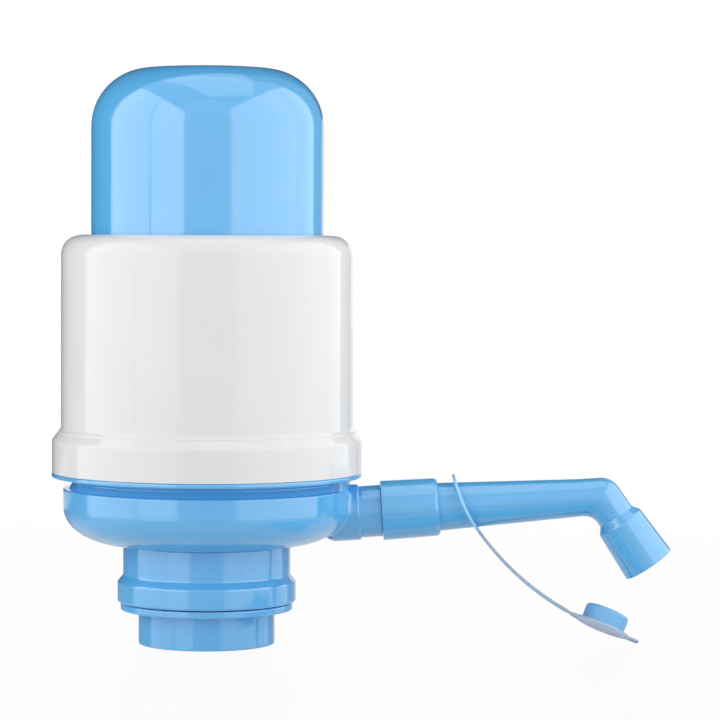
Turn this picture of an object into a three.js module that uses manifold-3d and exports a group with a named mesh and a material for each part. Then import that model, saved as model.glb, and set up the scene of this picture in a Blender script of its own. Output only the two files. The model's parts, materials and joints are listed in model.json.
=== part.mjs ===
// Hand pump for a large water bottle: a press dome works a bellows, and the air that it sends
// into the bottle lifts the water through a swivelling spout. Millimetres, +Z up, +X to the spout.
// The origin is the centre of the socket's lower end, where the bottle neck goes in.
import * as THREE from "three";
import { mergeVertices } from "three/addons/utils/BufferGeometryUtils.js";
import Module from "manifold-3d";

const wasm = await Module();
wasm.setup();

// Clearances and shared walls
const runGap = 0.3;
const seatGap = 0.1;
const shellWall = 2.2;
const cutOver = 4;

// Bottle neck and the neck sleeve that goes over it
const bottleNeckDiameter = 55;
const neckClearance = 0.3;
const sleeveTubeWall = 1.2;
const sleeveTubeHeight = 14.6;
const flangeInset = 1.3;
const flangeThickness = 3;
const flangeEdge = 0.5;
const skirtWall = 1.8;
const skirtHeight = 12.4;
const lugCount = 3;
const lugWidth = 3.6;
const lugHeight = 2.4;
const lugReach = 2;
const lugAboveCollarBottom = 2.7;

// Lock collar round the sleeve
const collarGap = 0.7;
const collarHeight = 23.7;
const bulgeReach = 2.4;
const bulgeHeight = 8.3;
const collarChamfer = 3;
const collarSkin = 0.7;
const collarEdge = 0.6;
const camDepth = 2.4;
const camClearance = 0.5;
const unlockTurn = 80;
const entryTurn = 97;
const unlockDrop = 3;

// Base: neck wall, bowl, rim and the spigot that carries the casing
const neckWall = 2.3;
const neckWallInset = 1.3;
const snapBead = 1.1;
const snapBeadHeight = 1.8;
const snapBeadBelowTop = 5.4;
const bowlGap = 0.6;
const floorThickness = 2.4;
const bowlFlatReach = 0.4;
const bowlTurnRun = 25;
const bowlTurnRise = 15.6;
const bowlWallHeight = 8.2;
const rimGrooveDepth = 2.5;
const rimGrooveHeight = 5;
const lipReach = 4.9;
const lipThickness = 1.8;
const spigotHeight = 9.8;
const spigotWall = 2.3;
const spigotClearance = 0.5;
const airHoleRadius = 1.8;
const airHoleCircle = 16;
const airHoleCount = 4;

// Casing
const casingGap = 0.3;
const casingWall = 2.4;
const casingSetback = 0.1;
const casingSkirtHeight = 13.6;
const casingChamferHeight = 5.1;
const casingStep = 3.8;
const casingHeight = 100.6;
const shoulderRadius = 8.5;
const guideHeight = 22.9;
const guideClearance = 0.5;

// Press dome and what it pushes
const domeInset = 12.4;
const domeTurnRun = 25;
const domeTurnHeight = 24.9;
const domeCrown = 0.5;
const domeAboveCasing = 71.8;
const domeFlange = 2.4;
const domeFlangeClearance = 0.4;
const plateThickness = 2.2;
const plateBelowCrown = 12.2;
const plateInset = 0.5;
const pushRingInset = 21.5;
const pushRingSlots = 4;
const pushRingSlotWidth = 6;

// Bellows and the deck that it stands on
const deckThickness = 2.2;
const gasketThickness = 1.5;
const bellowsClearance = 3.4;
const bellowsDepth = 6;
const bellowsWall = 1;
const bellowsFolds = 8;
const bellowsFlange = 1.2;
const bellowsFootReach = 3.5;
const clampWall = 2.9;
const clampHeight = 2.3;
const deckRimWall = 1.8;

// Air valves: a rubber mushroom that covers a ring of holes
const valveCapRadius = 11;
const valveCapThickness = 1.4;
const valveStemRadius = 2;
const valveStemClearance = 0.4;
const valveBulbRadius = 3.2;
const valveBulbHeight = 2;
const valveTravel = 1.5;
const valveHoleRadius = 1.6;
const valveHoleCircle = 7;
const valveHoleCount = 6;

// Water way inside the base
const nippleBore = 4.6;
const nippleWall = 2;
const nippleBarb = 0.7;
const nippleBarbs = 2;
const nippleBarbPitch = 4;
const nippleBottom = 26;
const nippleNeckWall = 1.4;
const nippleFlangeReach = 6.5;
const nippleFlangeThickness = 2;
const legWall = 2;
const legBore = 5.4;
const legHeightAboveFloor = 10.3;
const elbowBlockReach = 2.1;
const elbowFootReach = 3.5;
const elbowFootThickness = 2;
const nippleNeckHeight = 6.8;
const ringSection = 0.6;
const bottleGasketWidth = 9.6;
const bottleGasketThickness = 1.8;
const gripRingHeight = 9.9;

// Spout: boss and spigot of the base, coupling, pipe and nozzle, along an axis that rises slightly
const spoutRise = 3.96;
const bossSetback = 0.6;
const bossDrop = 1.9;
const bossDepth = 14;
const bossEdge = 0.9;
const stubStep = 1.4;
const stubLength = 9;
const spoutBore = 6.4;
const spoutSpigotWall = 3.2;
const spoutSpigotLength = 17.8;
const couplingLength = 24.5;
const couplingWall = 2.8;
const couplingTaper = 0.4;
const couplingEdge = 2;
const couplingWebThickness = 1.6;
const couplingWebStep = 1;
const couplingSocketDepth = 4.6;
const pipeReach = 0.64;
const pipeTaper = 2.24;
const pipeRootStep = 0.2;
const pipeWall = 2;
const elbowReach = 103.5;
const elbowBend = 60;
const elbowBendRadius = 9;
const nozzleStart = 13.4;
const nozzleLength = 21.9;
const nozzleFlare = 0.76;
const nozzleWall = 1.45;
const nozzleBoreDepth = 12;
const nozzleEdge = 0.6;

// Tether of the dust cap: ring on the pipe, strap, and cap with its plug
const tetherPlace = 44.3;
const tetherTilt = 25;
const tetherThickness = 1.3;
const tetherRingClearance = 1.16;
const tetherRingWidth = 2.6;
const tetherRingBend = 72;
const strapLength = 54.7;
const strapBend = 118;
const strapWidth = 7;
const capTurn = 6.6;
const capRoll = 17.7;
const capReach = 0.95;
const plugClearance = 0.25;
const plugHeight = 6;
const plugWall = 1.5;
const plugEdge = 1.2;
const capRootLength = 1.2;
const tabLength = 4.2;
const tabWidth = 5;

// Facets of round pieces: shells, rings, tubes and small parts
const shellSides = 36;
const ringSides = 24;
const tubeSides = 20;
const smallSides = 16;
const curveSteps = 5;
const camSteps = 10;

const degree = Math.PI / 180;
const at = (r, z) => new THREE.Vector2(r, z);

// A quarter turn of an ellipse from angle a to b, in degrees, as outline points
function ellipseArc(centreR, centreZ, runR, riseZ, a, b, steps = curveSteps) {
  return Array.from({ length: steps + 1 }, (unused, i) => {
    const angle = (a + ((b - a) * i) / steps) * degree;
    return at(centreR + runR * Math.cos(angle), centreZ + riseZ * Math.sin(angle));
  });
}

// A solid from a geometry, with shared corners merged and collapsed triangles left out
function toSolid(geometry) {
  const bare = new THREE.BufferGeometry();
  bare.setAttribute("position", geometry.getAttribute("position"));
  bare.setIndex(geometry.getIndex());
  const merged = mergeVertices(bare, 1e-4);
  const index = merged.getIndex().array;
  const kept = [];
  for (let i = 0; i < index.length; i += 3) {
    const [a, b, c] = [index[i], index[i + 1], index[i + 2]];
    if (a !== b && b !== c && c !== a) kept.push(a, b, c);
  }
  return new wasm.Manifold(new wasm.Mesh({
    numProp: 3,
    vertProperties: new Float32Array(merged.getAttribute("position").array),
    triVerts: new Uint32Array(kept),
  }));
}

// A geometry from a solid
function toGeometry(solid) {
  const { vertProperties, triVerts } = solid.getMesh();
  const geometry = new THREE.BufferGeometry();
  geometry.setAttribute("position", new THREE.BufferAttribute(vertProperties, 3));
  geometry.setIndex(new THREE.BufferAttribute(triVerts, 1));
  const flat = geometry.toNonIndexed();
  flat.computeVertexNormals();
  return flat;
}

// A closed outline of (radius, height) points turned round +Z, whichever way round it is drawn
function turned(outline, sides) {
  let area = 0;
  outline.forEach((p, i) => {
    const q = outline[(i + 1) % outline.length];
    area += p.x * q.y - q.x * p.y;
  });
  const points = area > 0 ? outline : [...outline].reverse();
  const geometry = new THREE.LatheGeometry([...points, points[0]], sides);
  geometry.rotateX(Math.PI / 2);
  return geometry;
}

// A round bar along +Z between two heights
function bar(radius, low, high, sides) {
  return turned([at(0, low), at(radius, low), at(radius, high), at(0, high)], sides);
}

// A ring with a rectangular section
function ring(inner, outer, low, high, sides) {
  return turned([at(inner, low), at(outer, low), at(outer, high), at(inner, high)], sides);
}

// Bars set on a circle, for rings of holes
function barsOnCircle(count, circle, radius, low, high) {
  return Array.from({ length: count }, (unused, i) => {
    const hole = bar(radius, low, high, smallSides);
    hole.translate(circle, 0, 0);
    hole.rotateZ(((i + 1 / 2) * 2 * Math.PI) / count);
    return toSolid(hole);
  });
}

function finish(color, roughness) {
  return new THREE.MeshStandardMaterial({ color, roughness, metalness: 0 });
}
const blueGloss = () => finish("#6fb4e8", 0.2);
const whiteGloss = () => finish("#e9eaeb", 0.2);
const clearBlueSoft = () => finish("#8fbfe6", 0.4);
const greyRubber = () => finish("#d8dadc", 0.7);
const naturalPlastic = () => finish("#e4e6e4", 0.4);

function piece(name, shape, material) {
  const geometry = shape instanceof THREE.BufferGeometry ? toGeometry(toSolid(shape)) : toGeometry(shape);
  const mesh = new THREE.Mesh(geometry, material);
  mesh.name = name;
  return mesh;
}

const pump = new THREE.Group();

// Neck sleeve: a thin tube for the bottle neck, a finger flange and a skirt with three lugs
const sleeveBore = bottleNeckDiameter / 2 + neckClearance;
const sleeveTubeRadius = sleeveBore + sleeveTubeWall;
const flangeTop = sleeveTubeHeight + flangeThickness;
const skirtRadius = sleeveBore + skirtWall;
const skirtTop = flangeTop + skirtHeight;
const collarBottom = flangeTop + collarGap;
const collarTop = collarBottom + collarHeight;
const neckInner = skirtRadius + runGap;
const neckOuter = neckInner + neckWall;
const collarBore = neckOuter + runGap;
const camRadius = collarBore + camDepth;
const collarRadius = camRadius + collarSkin;
const bulgeRadius = collarRadius + bulgeReach;
const flangeRadius = bulgeRadius - flangeInset;
const lugBottom = collarBottom + lugAboveCollarBottom;
const lugTip = collarBore + lugReach;

function buildLug(turn) {
  const root = sleeveBore + skirtWall / 2;
  const lug = new THREE.BoxGeometry(lugTip - root, lugWidth, lugHeight);
  lug.translate((lugTip + root) / 2, 0, lugBottom + lugHeight / 2);
  return toSolid(lug.rotateZ(turn));
}

function buildNeckSleeve() {
  const body = toSolid(turned([
    at(sleeveBore, 0), at(sleeveTubeRadius, 0), at(sleeveTubeRadius, sleeveTubeHeight),
    at(flangeRadius - flangeEdge, sleeveTubeHeight), at(flangeRadius, sleeveTubeHeight + flangeEdge),
    at(flangeRadius, flangeTop - flangeEdge), at(flangeRadius - flangeEdge, flangeTop),
    at(skirtRadius, flangeTop), at(skirtRadius, skirtTop), at(sleeveBore, skirtTop),
  ], shellSides));
  const lugs = Array.from({ length: lugCount }, (unused, i) => buildLug((i * 2 * Math.PI) / lugCount));
  return lugs.reduce((sum, lug) => sum.add(lug), body);
}
pump.add(piece("neck_sleeve", buildNeckSleeve(), blueGloss()));

// Lock collar: its three cam grooves lift the sleeve's lugs as it turns
const camHeight = lugHeight + 2 * camClearance;
const lugHalfTurn = Math.asin((lugWidth / 2 + camClearance) / collarBore) / degree;

// One groove: a block of square section that climbs as it goes round, made as a closed strip
function camGroove(startTurn) {
  const inner = collarBore - cutOver / 2;
  const stations = [lugHalfTurn, 0];
  for (let i = 1; i <= camSteps; i += 1) stations.push((-unlockTurn * i) / camSteps);
  stations.push(-entryTurn, -entryTurn - lugHalfTurn);
  const positions = [];
  stations.forEach((turn) => {
    const drop = unlockDrop * Math.min(1, Math.max(0, -turn / unlockTurn));
    const angle = (startTurn + turn) * degree;
    const low = lugBottom - camClearance - drop;
    [[inner, low], [camRadius, low], [camRadius, low + camHeight], [inner, low + camHeight]]
      .forEach(([r, z]) => positions.push(r * Math.cos(angle), r * Math.sin(angle), z));
  });
  const index = [];
  const last = (stations.length - 1) * 4;
  for (let i = 0; i < stations.length - 1; i += 1) {
    for (let k = 0; k < 4; k += 1) {
      const a = i * 4 + k;
      const b = i * 4 + ((k + 1) % 4);
      index.push(a, b, a + 4, b, b + 4, a + 4);
    }
  }
  index.push(0, 2, 1, 0, 3, 2, last, last + 1, last + 2, last, last + 2, last + 3);
  const geometry = new THREE.BufferGeometry();
  geometry.setAttribute("position", new THREE.BufferAttribute(new Float32Array(positions), 3));
  geometry.setIndex(index);
  return geometry;
}

// The entry slot through which a lug reaches the end of its groove when the pump is put together
function camEntry(startTurn) {
  const depth = lugBottom - unlockDrop - collarBottom + cutOver;
  const inner = collarBore - cutOver / 2;
  const slot = new THREE.BoxGeometry(camRadius - inner, lugWidth + 2 * camClearance, depth);
  slot.translate((camRadius + inner) / 2, 0, lugBottom - unlockDrop - depth / 2 + camClearance);
  slot.rotateZ((startTurn - entryTurn) * degree);
  return slot;
}

function buildLockCollar() {
  const bulgeTop = collarBottom + bulgeHeight;
  const beadMiddle = collarTop - snapBeadBelowTop;
  const beadHalf = snapBeadHeight / 2 + runGap;
  const beadGroove = neckOuter + snapBead + runGap;
  let collar = toSolid(turned([
    at(collarBore, collarBottom), at(bulgeRadius - collarEdge, collarBottom),
    at(bulgeRadius, collarBottom + collarEdge), at(bulgeRadius, bulgeTop - collarEdge),
    at(bulgeRadius - collarEdge / 2, bulgeTop + collarEdge / 2),
    at(collarRadius + collarEdge / 2, bulgeTop + collarChamfer - collarEdge / 2),
    at(collarRadius, bulgeTop + collarChamfer + collarEdge), at(collarRadius, collarTop - collarEdge),
    at(collarRadius - collarEdge, collarTop), at(collarBore, collarTop),
    at(collarBore, beadMiddle + beadHalf), at(beadGroove, beadMiddle + snapBeadHeight / 4),
    at(beadGroove, beadMiddle - snapBeadHeight / 4), at(collarBore, beadMiddle - beadHalf),
  ], shellSides));
  for (let i = 0; i < lugCount; i += 1) {
    const startTurn = (i * 360) / lugCount;
    collar = collar.subtract(toSolid(camGroove(startTurn))).subtract(toSolid(camEntry(startTurn)));
  }
  return collar;
}
pump.add(piece("lock_collar", buildLockCollar(), blueGloss()));

// Base heights, from the collar's top upwards
const bowlBottom = collarTop + bowlGap;
const floorTop = bowlBottom + floorThickness;
const bowlFlat = collarRadius + bowlFlatReach;
const bowlRadius = bowlFlat + bowlTurnRun;
const lipRadius = bowlRadius + lipReach;
const casingSkirtRadius = lipRadius - casingSetback;
const turnTop = bowlBottom + bowlTurnRise;
const bowlTop = turnTop + bowlWallHeight;
const grooveRadius = bowlRadius - rimGrooveDepth;
const grooveTop = bowlTop + rimGrooveHeight;
const lipTop = grooveTop + lipThickness;
const skirtInner = casingSkirtRadius - casingWall;
const spigotRadius = skirtInner - spigotClearance;
const spigotTop = lipTop + spigotHeight;
const spigotInner = spigotRadius - spigotWall;
const legZ = floorTop + legHeightAboveFloor;
const neckWallBottom = collarBottom + neckWallInset;
const nippleNeckRadius = nippleBore + nippleNeckWall;
const elbowSocket = nippleNeckRadius + runGap;

// The spout's own axis: +Z of this group points along the spout, from the boss's face
const bossFaceX = lipRadius - bossSetback;
const bossHeight = turnTop - bossDrop;
const spoutSpigotRadius = spoutBore + spoutSpigotWall;
const stubRadius = spoutSpigotRadius + stubStep;
const bossRadius = stubRadius + bossEdge;
const legRadius = legBore + legWall;
const spoutLine = () => {
  const group = new THREE.Group();
  group.position.set(bossFaceX, 0, bossHeight);
  group.rotation.y = (90 - spoutRise) * degree;
  group.updateMatrixWorld(true);
  return group;
};
const spoutMatrix = spoutLine().matrixWorld;
const spigotEnd = stubLength + spoutSpigotLength;
const sealPlace = spigotEnd - spoutSpigotLength / 2;
const sealGroove = ringSection * 2;

function alongSpout(geometry) {
  return toSolid(geometry.applyMatrix4(spoutMatrix));
}

function ringGroove(radius, place) {
  const half = ringSection + seatGap;
  return [at(radius, place - half), at(radius - sealGroove, place - half),
    at(radius - sealGroove, place + half), at(radius, place + half)];
}

// Base bowl: neck wall with lug slots, floor with air holes, bowl, rim, spigot, boss and spout spigot
function buildBaseBowl() {
  const innerTurnRise = bowlTurnRise - floorThickness;
  const beadMiddle = collarTop - snapBeadBelowTop;
  const shell = toSolid(turned([
    at(neckInner, neckWallBottom), at(neckOuter, neckWallBottom),
    at(neckOuter, beadMiddle - snapBeadHeight / 2), at(neckOuter + snapBead, beadMiddle),
    at(neckOuter, beadMiddle + snapBeadHeight / 2), at(neckOuter, bowlBottom),
    ...ellipseArc(bowlFlat, turnTop, bowlTurnRun, bowlTurnRise, -90, 0),
    at(bowlRadius, bowlTop), at(grooveRadius, bowlTop), at(grooveRadius, grooveTop),
    at(lipRadius, grooveTop), at(lipRadius, lipTop), at(spigotRadius, lipTop),
    at(spigotRadius, spigotTop), at(spigotInner, spigotTop), at(spigotInner, lipTop),
    at(grooveRadius - shellWall, lipTop - lipThickness / 2),
    at(grooveRadius - shellWall, bowlTop - shellWall),
    ...ellipseArc(bowlFlat, turnTop, bowlTurnRun - shellWall, innerTurnRise, 0, -90),
    at(0, floorTop), at(0, bowlBottom), at(neckInner, bowlBottom),
  ], shellSides));
  const boss = alongSpout(turned([
    at(0, -bossDepth), at(bossRadius, -bossDepth), at(bossRadius, -bossEdge),
    at(bossRadius - bossEdge / 3, -bossEdge / 3), at(stubRadius, 0), at(stubRadius, stubLength),
    at(spoutSpigotRadius, stubLength), ...ringGroove(spoutSpigotRadius, sealPlace),
    at(spoutSpigotRadius, spigotEnd), at(0, spigotEnd),
  ], tubeSides));
  const cuts = [
    alongSpout(bar(spoutBore, -bossDepth / 2, spigotEnd + cutOver, tubeSides)),
    toSolid(bar(legRadius + runGap, 0, bossDepth / 2 + cutOver, tubeSides).rotateY(Math.PI / 2)
      .translate(bossFaceX - bossDepth - cutOver, 0, legZ)),
    toSolid(bar(elbowSocket, bowlBottom - cutOver, floorTop + cutOver, tubeSides)),
    ...barsOnCircle(airHoleCount, airHoleCircle, airHoleRadius, bowlBottom - cutOver, floorTop + cutOver),
  ];
  const slotHeight = lugBottom + lugHeight + camClearance - neckWallBottom + cutOver;
  for (let i = 0; i < lugCount; i += 1) {
    const slot = new THREE.BoxGeometry(neckWall + cutOver, lugWidth + 2 * runGap, slotHeight);
    slot.translate((neckInner + neckOuter) / 2, 0, neckWallBottom - cutOver + slotHeight / 2);
    slot.rotateZ((i * 2 * Math.PI) / lugCount);
    cuts.push(toSolid(slot));
  }
  return cuts.reduce((body, cut) => body.subtract(cut), shell.add(boss));
}
pump.add(piece("base_bowl", buildBaseBowl(), blueGloss()));

// Bottle gasket and grip ring, inside the neck wall
const gasketTop = bowlBottom - seatGap;
const gasketBottom = gasketTop - bottleGasketThickness;
const gasketOuter = neckInner - runGap;
const gripRingBottom = skirtTop + runGap;
pump.add(piece("bottle_gasket",
  ring(gasketOuter - bottleGasketWidth, gasketOuter, gasketBottom, gasketTop, ringSides), greyRubber()));
pump.add(piece("grip_ring",
  ring(sleeveBore + seatGap, gasketOuter, gripRingBottom, gripRingBottom + gripRingHeight, shellSides),
  greyRubber()));

// Suction nipple under the floor, its seal, and the water elbow on the floor
const sealTop = bowlBottom - seatGap;
const sealBottom = sealTop - gasketThickness;
const nippleFlangeTop = sealBottom - seatGap;
const nippleFlangeRadius = nippleNeckRadius + nippleFlangeReach;

function buildNipple() {
  const flangeBottom = nippleFlangeTop - nippleFlangeThickness;
  const outer = nippleBore + nippleWall;
  const barbs = [];
  for (let i = 0; i < nippleBarbs; i += 1) {
    const low = nippleBottom + i * nippleBarbPitch;
    barbs.push(at(outer - nippleBarb, low), at(outer, low + nippleBarbPitch * 3 / 4));
  }
  return turned([
    at(nippleBore, nippleBottom), ...barbs,
    at(outer - nippleBarb, nippleBottom + nippleBarbs * nippleBarbPitch),
    at(outer - nippleBarb, flangeBottom), at(nippleFlangeRadius, flangeBottom),
    at(nippleFlangeRadius, nippleFlangeTop), at(nippleNeckRadius, nippleFlangeTop),
    at(nippleNeckRadius, bowlBottom + nippleNeckHeight), at(nippleBore, bowlBottom + nippleNeckHeight),
  ], tubeSides);
}
pump.add(piece("suction_nipple", buildNipple(), naturalPlastic()));
pump.add(piece("nipple_seal",
  ring(nippleNeckRadius + runGap, nippleFlangeRadius, sealBottom, sealTop, tubeSides), greyRubber()));

const legEnd = bossFaceX - bossDepth / 2 - 2 * runGap;
const legSealPlace = legEnd - bossDepth / 4;
const elbowBlockRadius = legRadius + elbowBlockReach;
const elbowFootRadius = elbowBlockRadius + elbowFootReach;

function buildElbow() {
  const footBottom = floorTop + seatGap;
  const footTop = footBottom + elbowFootThickness;
  const block = toSolid(turned([
    at(0, footBottom), at(elbowFootRadius, footBottom), at(elbowFootRadius, footTop),
    at(elbowBlockRadius, footTop),
    ...ellipseArc(0, legZ, elbowBlockRadius, elbowBlockRadius, 0, 90, curveSteps - 1),
  ], tubeSides));
  const leg = toSolid(turned([
    at(0, 0), at(legRadius, 0), ...ringGroove(legRadius, legSealPlace), at(legRadius, legEnd), at(0, legEnd),
  ], tubeSides).rotateY(Math.PI / 2).translate(0, 0, legZ));
  const socketTop = bowlBottom + nippleNeckHeight + runGap;
  const bores = [
    toSolid(bar(elbowSocket, footBottom - cutOver, socketTop, tubeSides)),
    toSolid(bar(legBore, footBottom, legZ, tubeSides)),
    toSolid(new THREE.SphereGeometry(legBore, tubeSides, smallSides / 2).translate(0, 0, legZ)),
    toSolid(bar(legBore, 0, legEnd + cutOver, tubeSides).rotateY(Math.PI / 2).translate(0, 0, legZ)),
  ];
  return bores.reduce((body, cut) => body.subtract(cut), block.add(leg));
}
pump.add(piece("water_elbow", buildElbow(), naturalPlastic()));

// A rubber ring of round section that sits in a ringGroove, wide enough to turn on the groove's facets
function sealRing(radius, place) {
  const middle = (radius - sealGroove) / Math.cos(Math.PI / tubeSides) + ringSection + seatGap / 2;
  return new THREE.TorusGeometry(middle, ringSection, smallSides / 2, tubeSides).translate(0, 0, place);
}
pump.add(piece("elbow_seal",
  sealRing(legRadius, legSealPlace).rotateY(Math.PI / 2).translate(0, 0, legZ), greyRubber()));

// Casing: skirt over the base's spigot, tall wall, round shoulder and the guide tube for the dome
const casingBottom = lipTop + casingGap;
const casingTop = casingBottom + casingHeight;
const casingRadius = casingSkirtRadius - casingStep;
const casingInner = casingRadius - casingWall;
const domeRadius = casingRadius - domeInset;
const guideRadius = domeRadius + guideClearance;
const guideBottom = casingTop - guideHeight;
const gasketRingTop = spigotTop + seatGap + gasketThickness;
const deckBottom = gasketRingTop + seatGap;
const deckTop = deckBottom + deckThickness;

function buildCasing() {
  const skirtTopZ = casingBottom + casingSkirtHeight;
  const chamferTop = skirtTopZ + casingChamferHeight;
  const shoulderR = casingRadius - shoulderRadius;
  const shoulderZ = casingTop - shoulderRadius;
  const innerTurn = shoulderRadius - casingWall;
  const step = deckTop + runGap;
  return turned([
    at(skirtInner, casingBottom), at(casingSkirtRadius, casingBottom), at(casingSkirtRadius, skirtTopZ),
    at(casingRadius, chamferTop), ...ellipseArc(shoulderR, shoulderZ, shoulderRadius, shoulderRadius, 0, 90),
    at(guideRadius, casingTop), at(guideRadius, guideBottom), at(guideRadius + shellWall, guideBottom),
    at(guideRadius + shellWall, casingTop - casingWall),
    ...ellipseArc(shoulderR, shoulderZ, innerTurn, innerTurn, 90, 0, curveSteps / 2),
    at(casingInner, chamferTop), at(casingInner + runGap * 2, step), at(skirtInner, step),
  ], shellSides);
}
pump.add(piece("casing", buildCasing(), whiteGloss()));

// Deck over the bowl with its gasket, and the clamp ring that holds the bellows' foot
const domeInner = domeRadius - shellWall;
const bellowsRadius = domeInner - bellowsClearance;
const bellowsFootRadius = bellowsRadius + bellowsFootReach;
const plateRadius = bellowsRadius - plateInset;
const pushRingRadius = plateRadius - pushRingInset;
const clampTop = deckTop + bellowsFlange + 2 * seatGap + clampHeight;
const clampRadius = bellowsFootRadius + clampWall;
const footPocket = bellowsFootRadius + 2 * runGap;

function valveHoles(low, high) {
  return [toSolid(bar(valveStemRadius + valveStemClearance, low, high, smallSides)),
    ...barsOnCircle(valveHoleCount, valveHoleCircle, valveHoleRadius, low, high)];
}

function buildDeck() {
  const deck = toSolid(turned([
    at(0, deckBottom), at(spigotRadius, deckBottom), at(spigotRadius, deckTop),
    at(clampRadius + runGap + deckRimWall, deckTop), at(clampRadius + runGap + deckRimWall, clampTop),
    at(clampRadius + runGap, clampTop), at(clampRadius + runGap, deckTop), at(0, deckTop),
  ], ringSides));
  return valveHoles(deckBottom - cutOver, deckTop + cutOver).reduce((body, cut) => body.subtract(cut), deck);
}
pump.add(piece("air_deck", buildDeck(), naturalPlastic()));
pump.add(piece("deck_gasket",
  ring(spigotInner, spigotRadius, spigotTop + seatGap, gasketRingTop, ringSides), greyRubber()));
pump.add(piece("bellows_clamp_ring",
  turned([
    at(bellowsRadius + runGap, clampTop - clampHeight), at(footPocket, clampTop - clampHeight),
    at(footPocket, deckTop + seatGap), at(clampRadius, deckTop + seatGap),
    at(clampRadius, clampTop), at(bellowsRadius + runGap, clampTop),
  ], ringSides), naturalPlastic()));

// Press dome with its stop flange under the guide tube, and the plate that closes the bellows
const domeTop = casingTop + domeAboveCasing;
const domeTurnZ = domeTop - domeCrown - domeTurnHeight;
const domeCrownRadius = domeRadius - domeTurnRun;
const flangeHigh = guideBottom - runGap;
const flangeLow = flangeHigh - domeFlange;

function buildDome() {
  return turned([
    at(domeInner, flangeLow), at(casingInner - domeFlangeClearance, flangeLow),
    at(casingInner - domeFlangeClearance, flangeHigh), at(domeRadius, flangeHigh),
    ...ellipseArc(domeCrownRadius, domeTurnZ, domeTurnRun, domeTurnHeight, 0, 90, curveSteps + 2),
    at(0, domeTop), at(0, domeTop - domeCrown - shellWall),
    ...ellipseArc(domeCrownRadius, domeTurnZ, domeTurnRun - shellWall, domeTurnHeight - shellWall, 90, 0),
  ], shellSides);
}
pump.add(piece("press_dome", buildDome(), blueGloss()));

const crownUnder = domeTop - domeCrown - shellWall;
const plateTop = crownUnder - plateBelowCrown;
const plateBottom = plateTop - plateThickness;

function buildTopPlate() {
  const plate = toSolid(turned([
    at(0, plateBottom), at(plateRadius, plateBottom), at(plateRadius, plateTop), at(pushRingRadius, plateTop),
    at(pushRingRadius, crownUnder - runGap), at(pushRingRadius - shellWall, crownUnder - runGap),
    at(pushRingRadius - shellWall, plateTop), at(0, plateTop),
  ], ringSides));
  const cuts = valveHoles(plateBottom - cutOver, plateTop + cutOver);
  for (let i = 0; i < pushRingSlots; i += 1) {
    const slot = new THREE.BoxGeometry(shellWall + cutOver, pushRingSlotWidth, plateBelowCrown);
    slot.translate(pushRingRadius - shellWall / 2, 0, crownUnder);
    slot.rotateZ((i * 2 * Math.PI) / pushRingSlots);
    cuts.push(toSolid(slot));
  }
  return cuts.reduce((body, cut) => body.subtract(cut), plate);
}
pump.add(piece("bellows_top_plate", buildTopPlate(), naturalPlastic()));

// Bellows: a folded rubber tube between the deck and the plate
function buildBellows() {
  const foot = deckTop + seatGap;
  const footTop = foot + bellowsFlange;
  const head = plateBottom - seatGap;
  const headBottom = head - bellowsFlange;
  const valley = bellowsRadius - bellowsDepth;
  const pitch = (headBottom - footTop) / bellowsFolds;
  const outer = [];
  const inner = [];
  for (let i = 0; i < bellowsFolds; i += 1) {
    const low = footTop + i * pitch;
    outer.push(at(valley, low), at(bellowsRadius, low + pitch / 2));
    inner.unshift(at(bellowsRadius - bellowsWall, low + pitch / 2), at(valley - bellowsWall, low));
  }
  return turned([
    at(valley - bellowsWall, foot), at(bellowsFootRadius, foot), at(bellowsFootRadius, footTop), ...outer,
    at(valley, headBottom), at(plateRadius, headBottom), at(plateRadius, head),
    at(valley - bellowsWall, head), at(valley - bellowsWall, headBottom), ...inner,
  ], tubeSides);
}
pump.add(piece("bellows", buildBellows(), greyRubber()));

// Air valves: outlet under the deck, intake under the plate
function valve(seatBottom, seatTop) {
  const capTop = seatBottom - runGap;
  const bulb = seatTop + valveTravel;
  return turned([
    at(0, capTop - valveCapThickness), at(valveStemRadius * 2, capTop - valveCapThickness),
    at(valveCapRadius, capTop - valveCapThickness / 2), at(valveCapRadius, capTop),
    at(valveStemRadius, capTop), at(valveStemRadius, bulb), at(valveBulbRadius, bulb),
    at(valveStemRadius, bulb + valveBulbHeight), at(0, bulb + valveBulbHeight),
  ], smallSides);
}
pump.add(piece("outlet_valve", valve(deckBottom, deckTop), greyRubber()));
pump.add(piece("intake_valve", valve(plateBottom, plateTop), greyRubber()));

// Spout coupling, which turns on the base's spigot, and its rubber ring
const spout = spoutLine();
pump.add(spout);
const couplingStart = stubLength + runGap;
const couplingEnd = couplingStart + couplingLength;
const couplingBore = spoutSpigotRadius + runGap;
const couplingRadius = couplingBore + couplingWall;
const couplingWebBore = spoutBore + couplingWebStep;
const pipeRadius = spoutSpigotRadius + pipeReach;
const couplingFarRadius = couplingRadius - couplingTaper;
const webEnd = couplingEnd - couplingSocketDepth;
const pipeSocket = pipeRadius - pipeRootStep + runGap / 2;
spout.add(piece("spout_coupling", turned([
  at(couplingBore, couplingStart), at(couplingRadius - bossEdge / 2, couplingStart),
  at(couplingRadius, couplingStart + bossEdge / 2), at(couplingFarRadius, couplingEnd - couplingEdge),
  ...ellipseArc(couplingFarRadius - couplingEdge, couplingEnd - couplingEdge,
    couplingEdge, couplingEdge, 0, 90, curveSteps - 2).slice(1),
  at(pipeSocket, couplingEnd), at(pipeSocket, webEnd), at(couplingWebBore, webEnd),
  at(couplingWebBore, webEnd - couplingWebThickness), at(couplingBore, webEnd - couplingWebThickness),
], tubeSides), blueGloss()));
spout.add(piece("spout_seal", sealRing(spoutSpigotRadius, sealPlace), greyRubber()));

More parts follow.
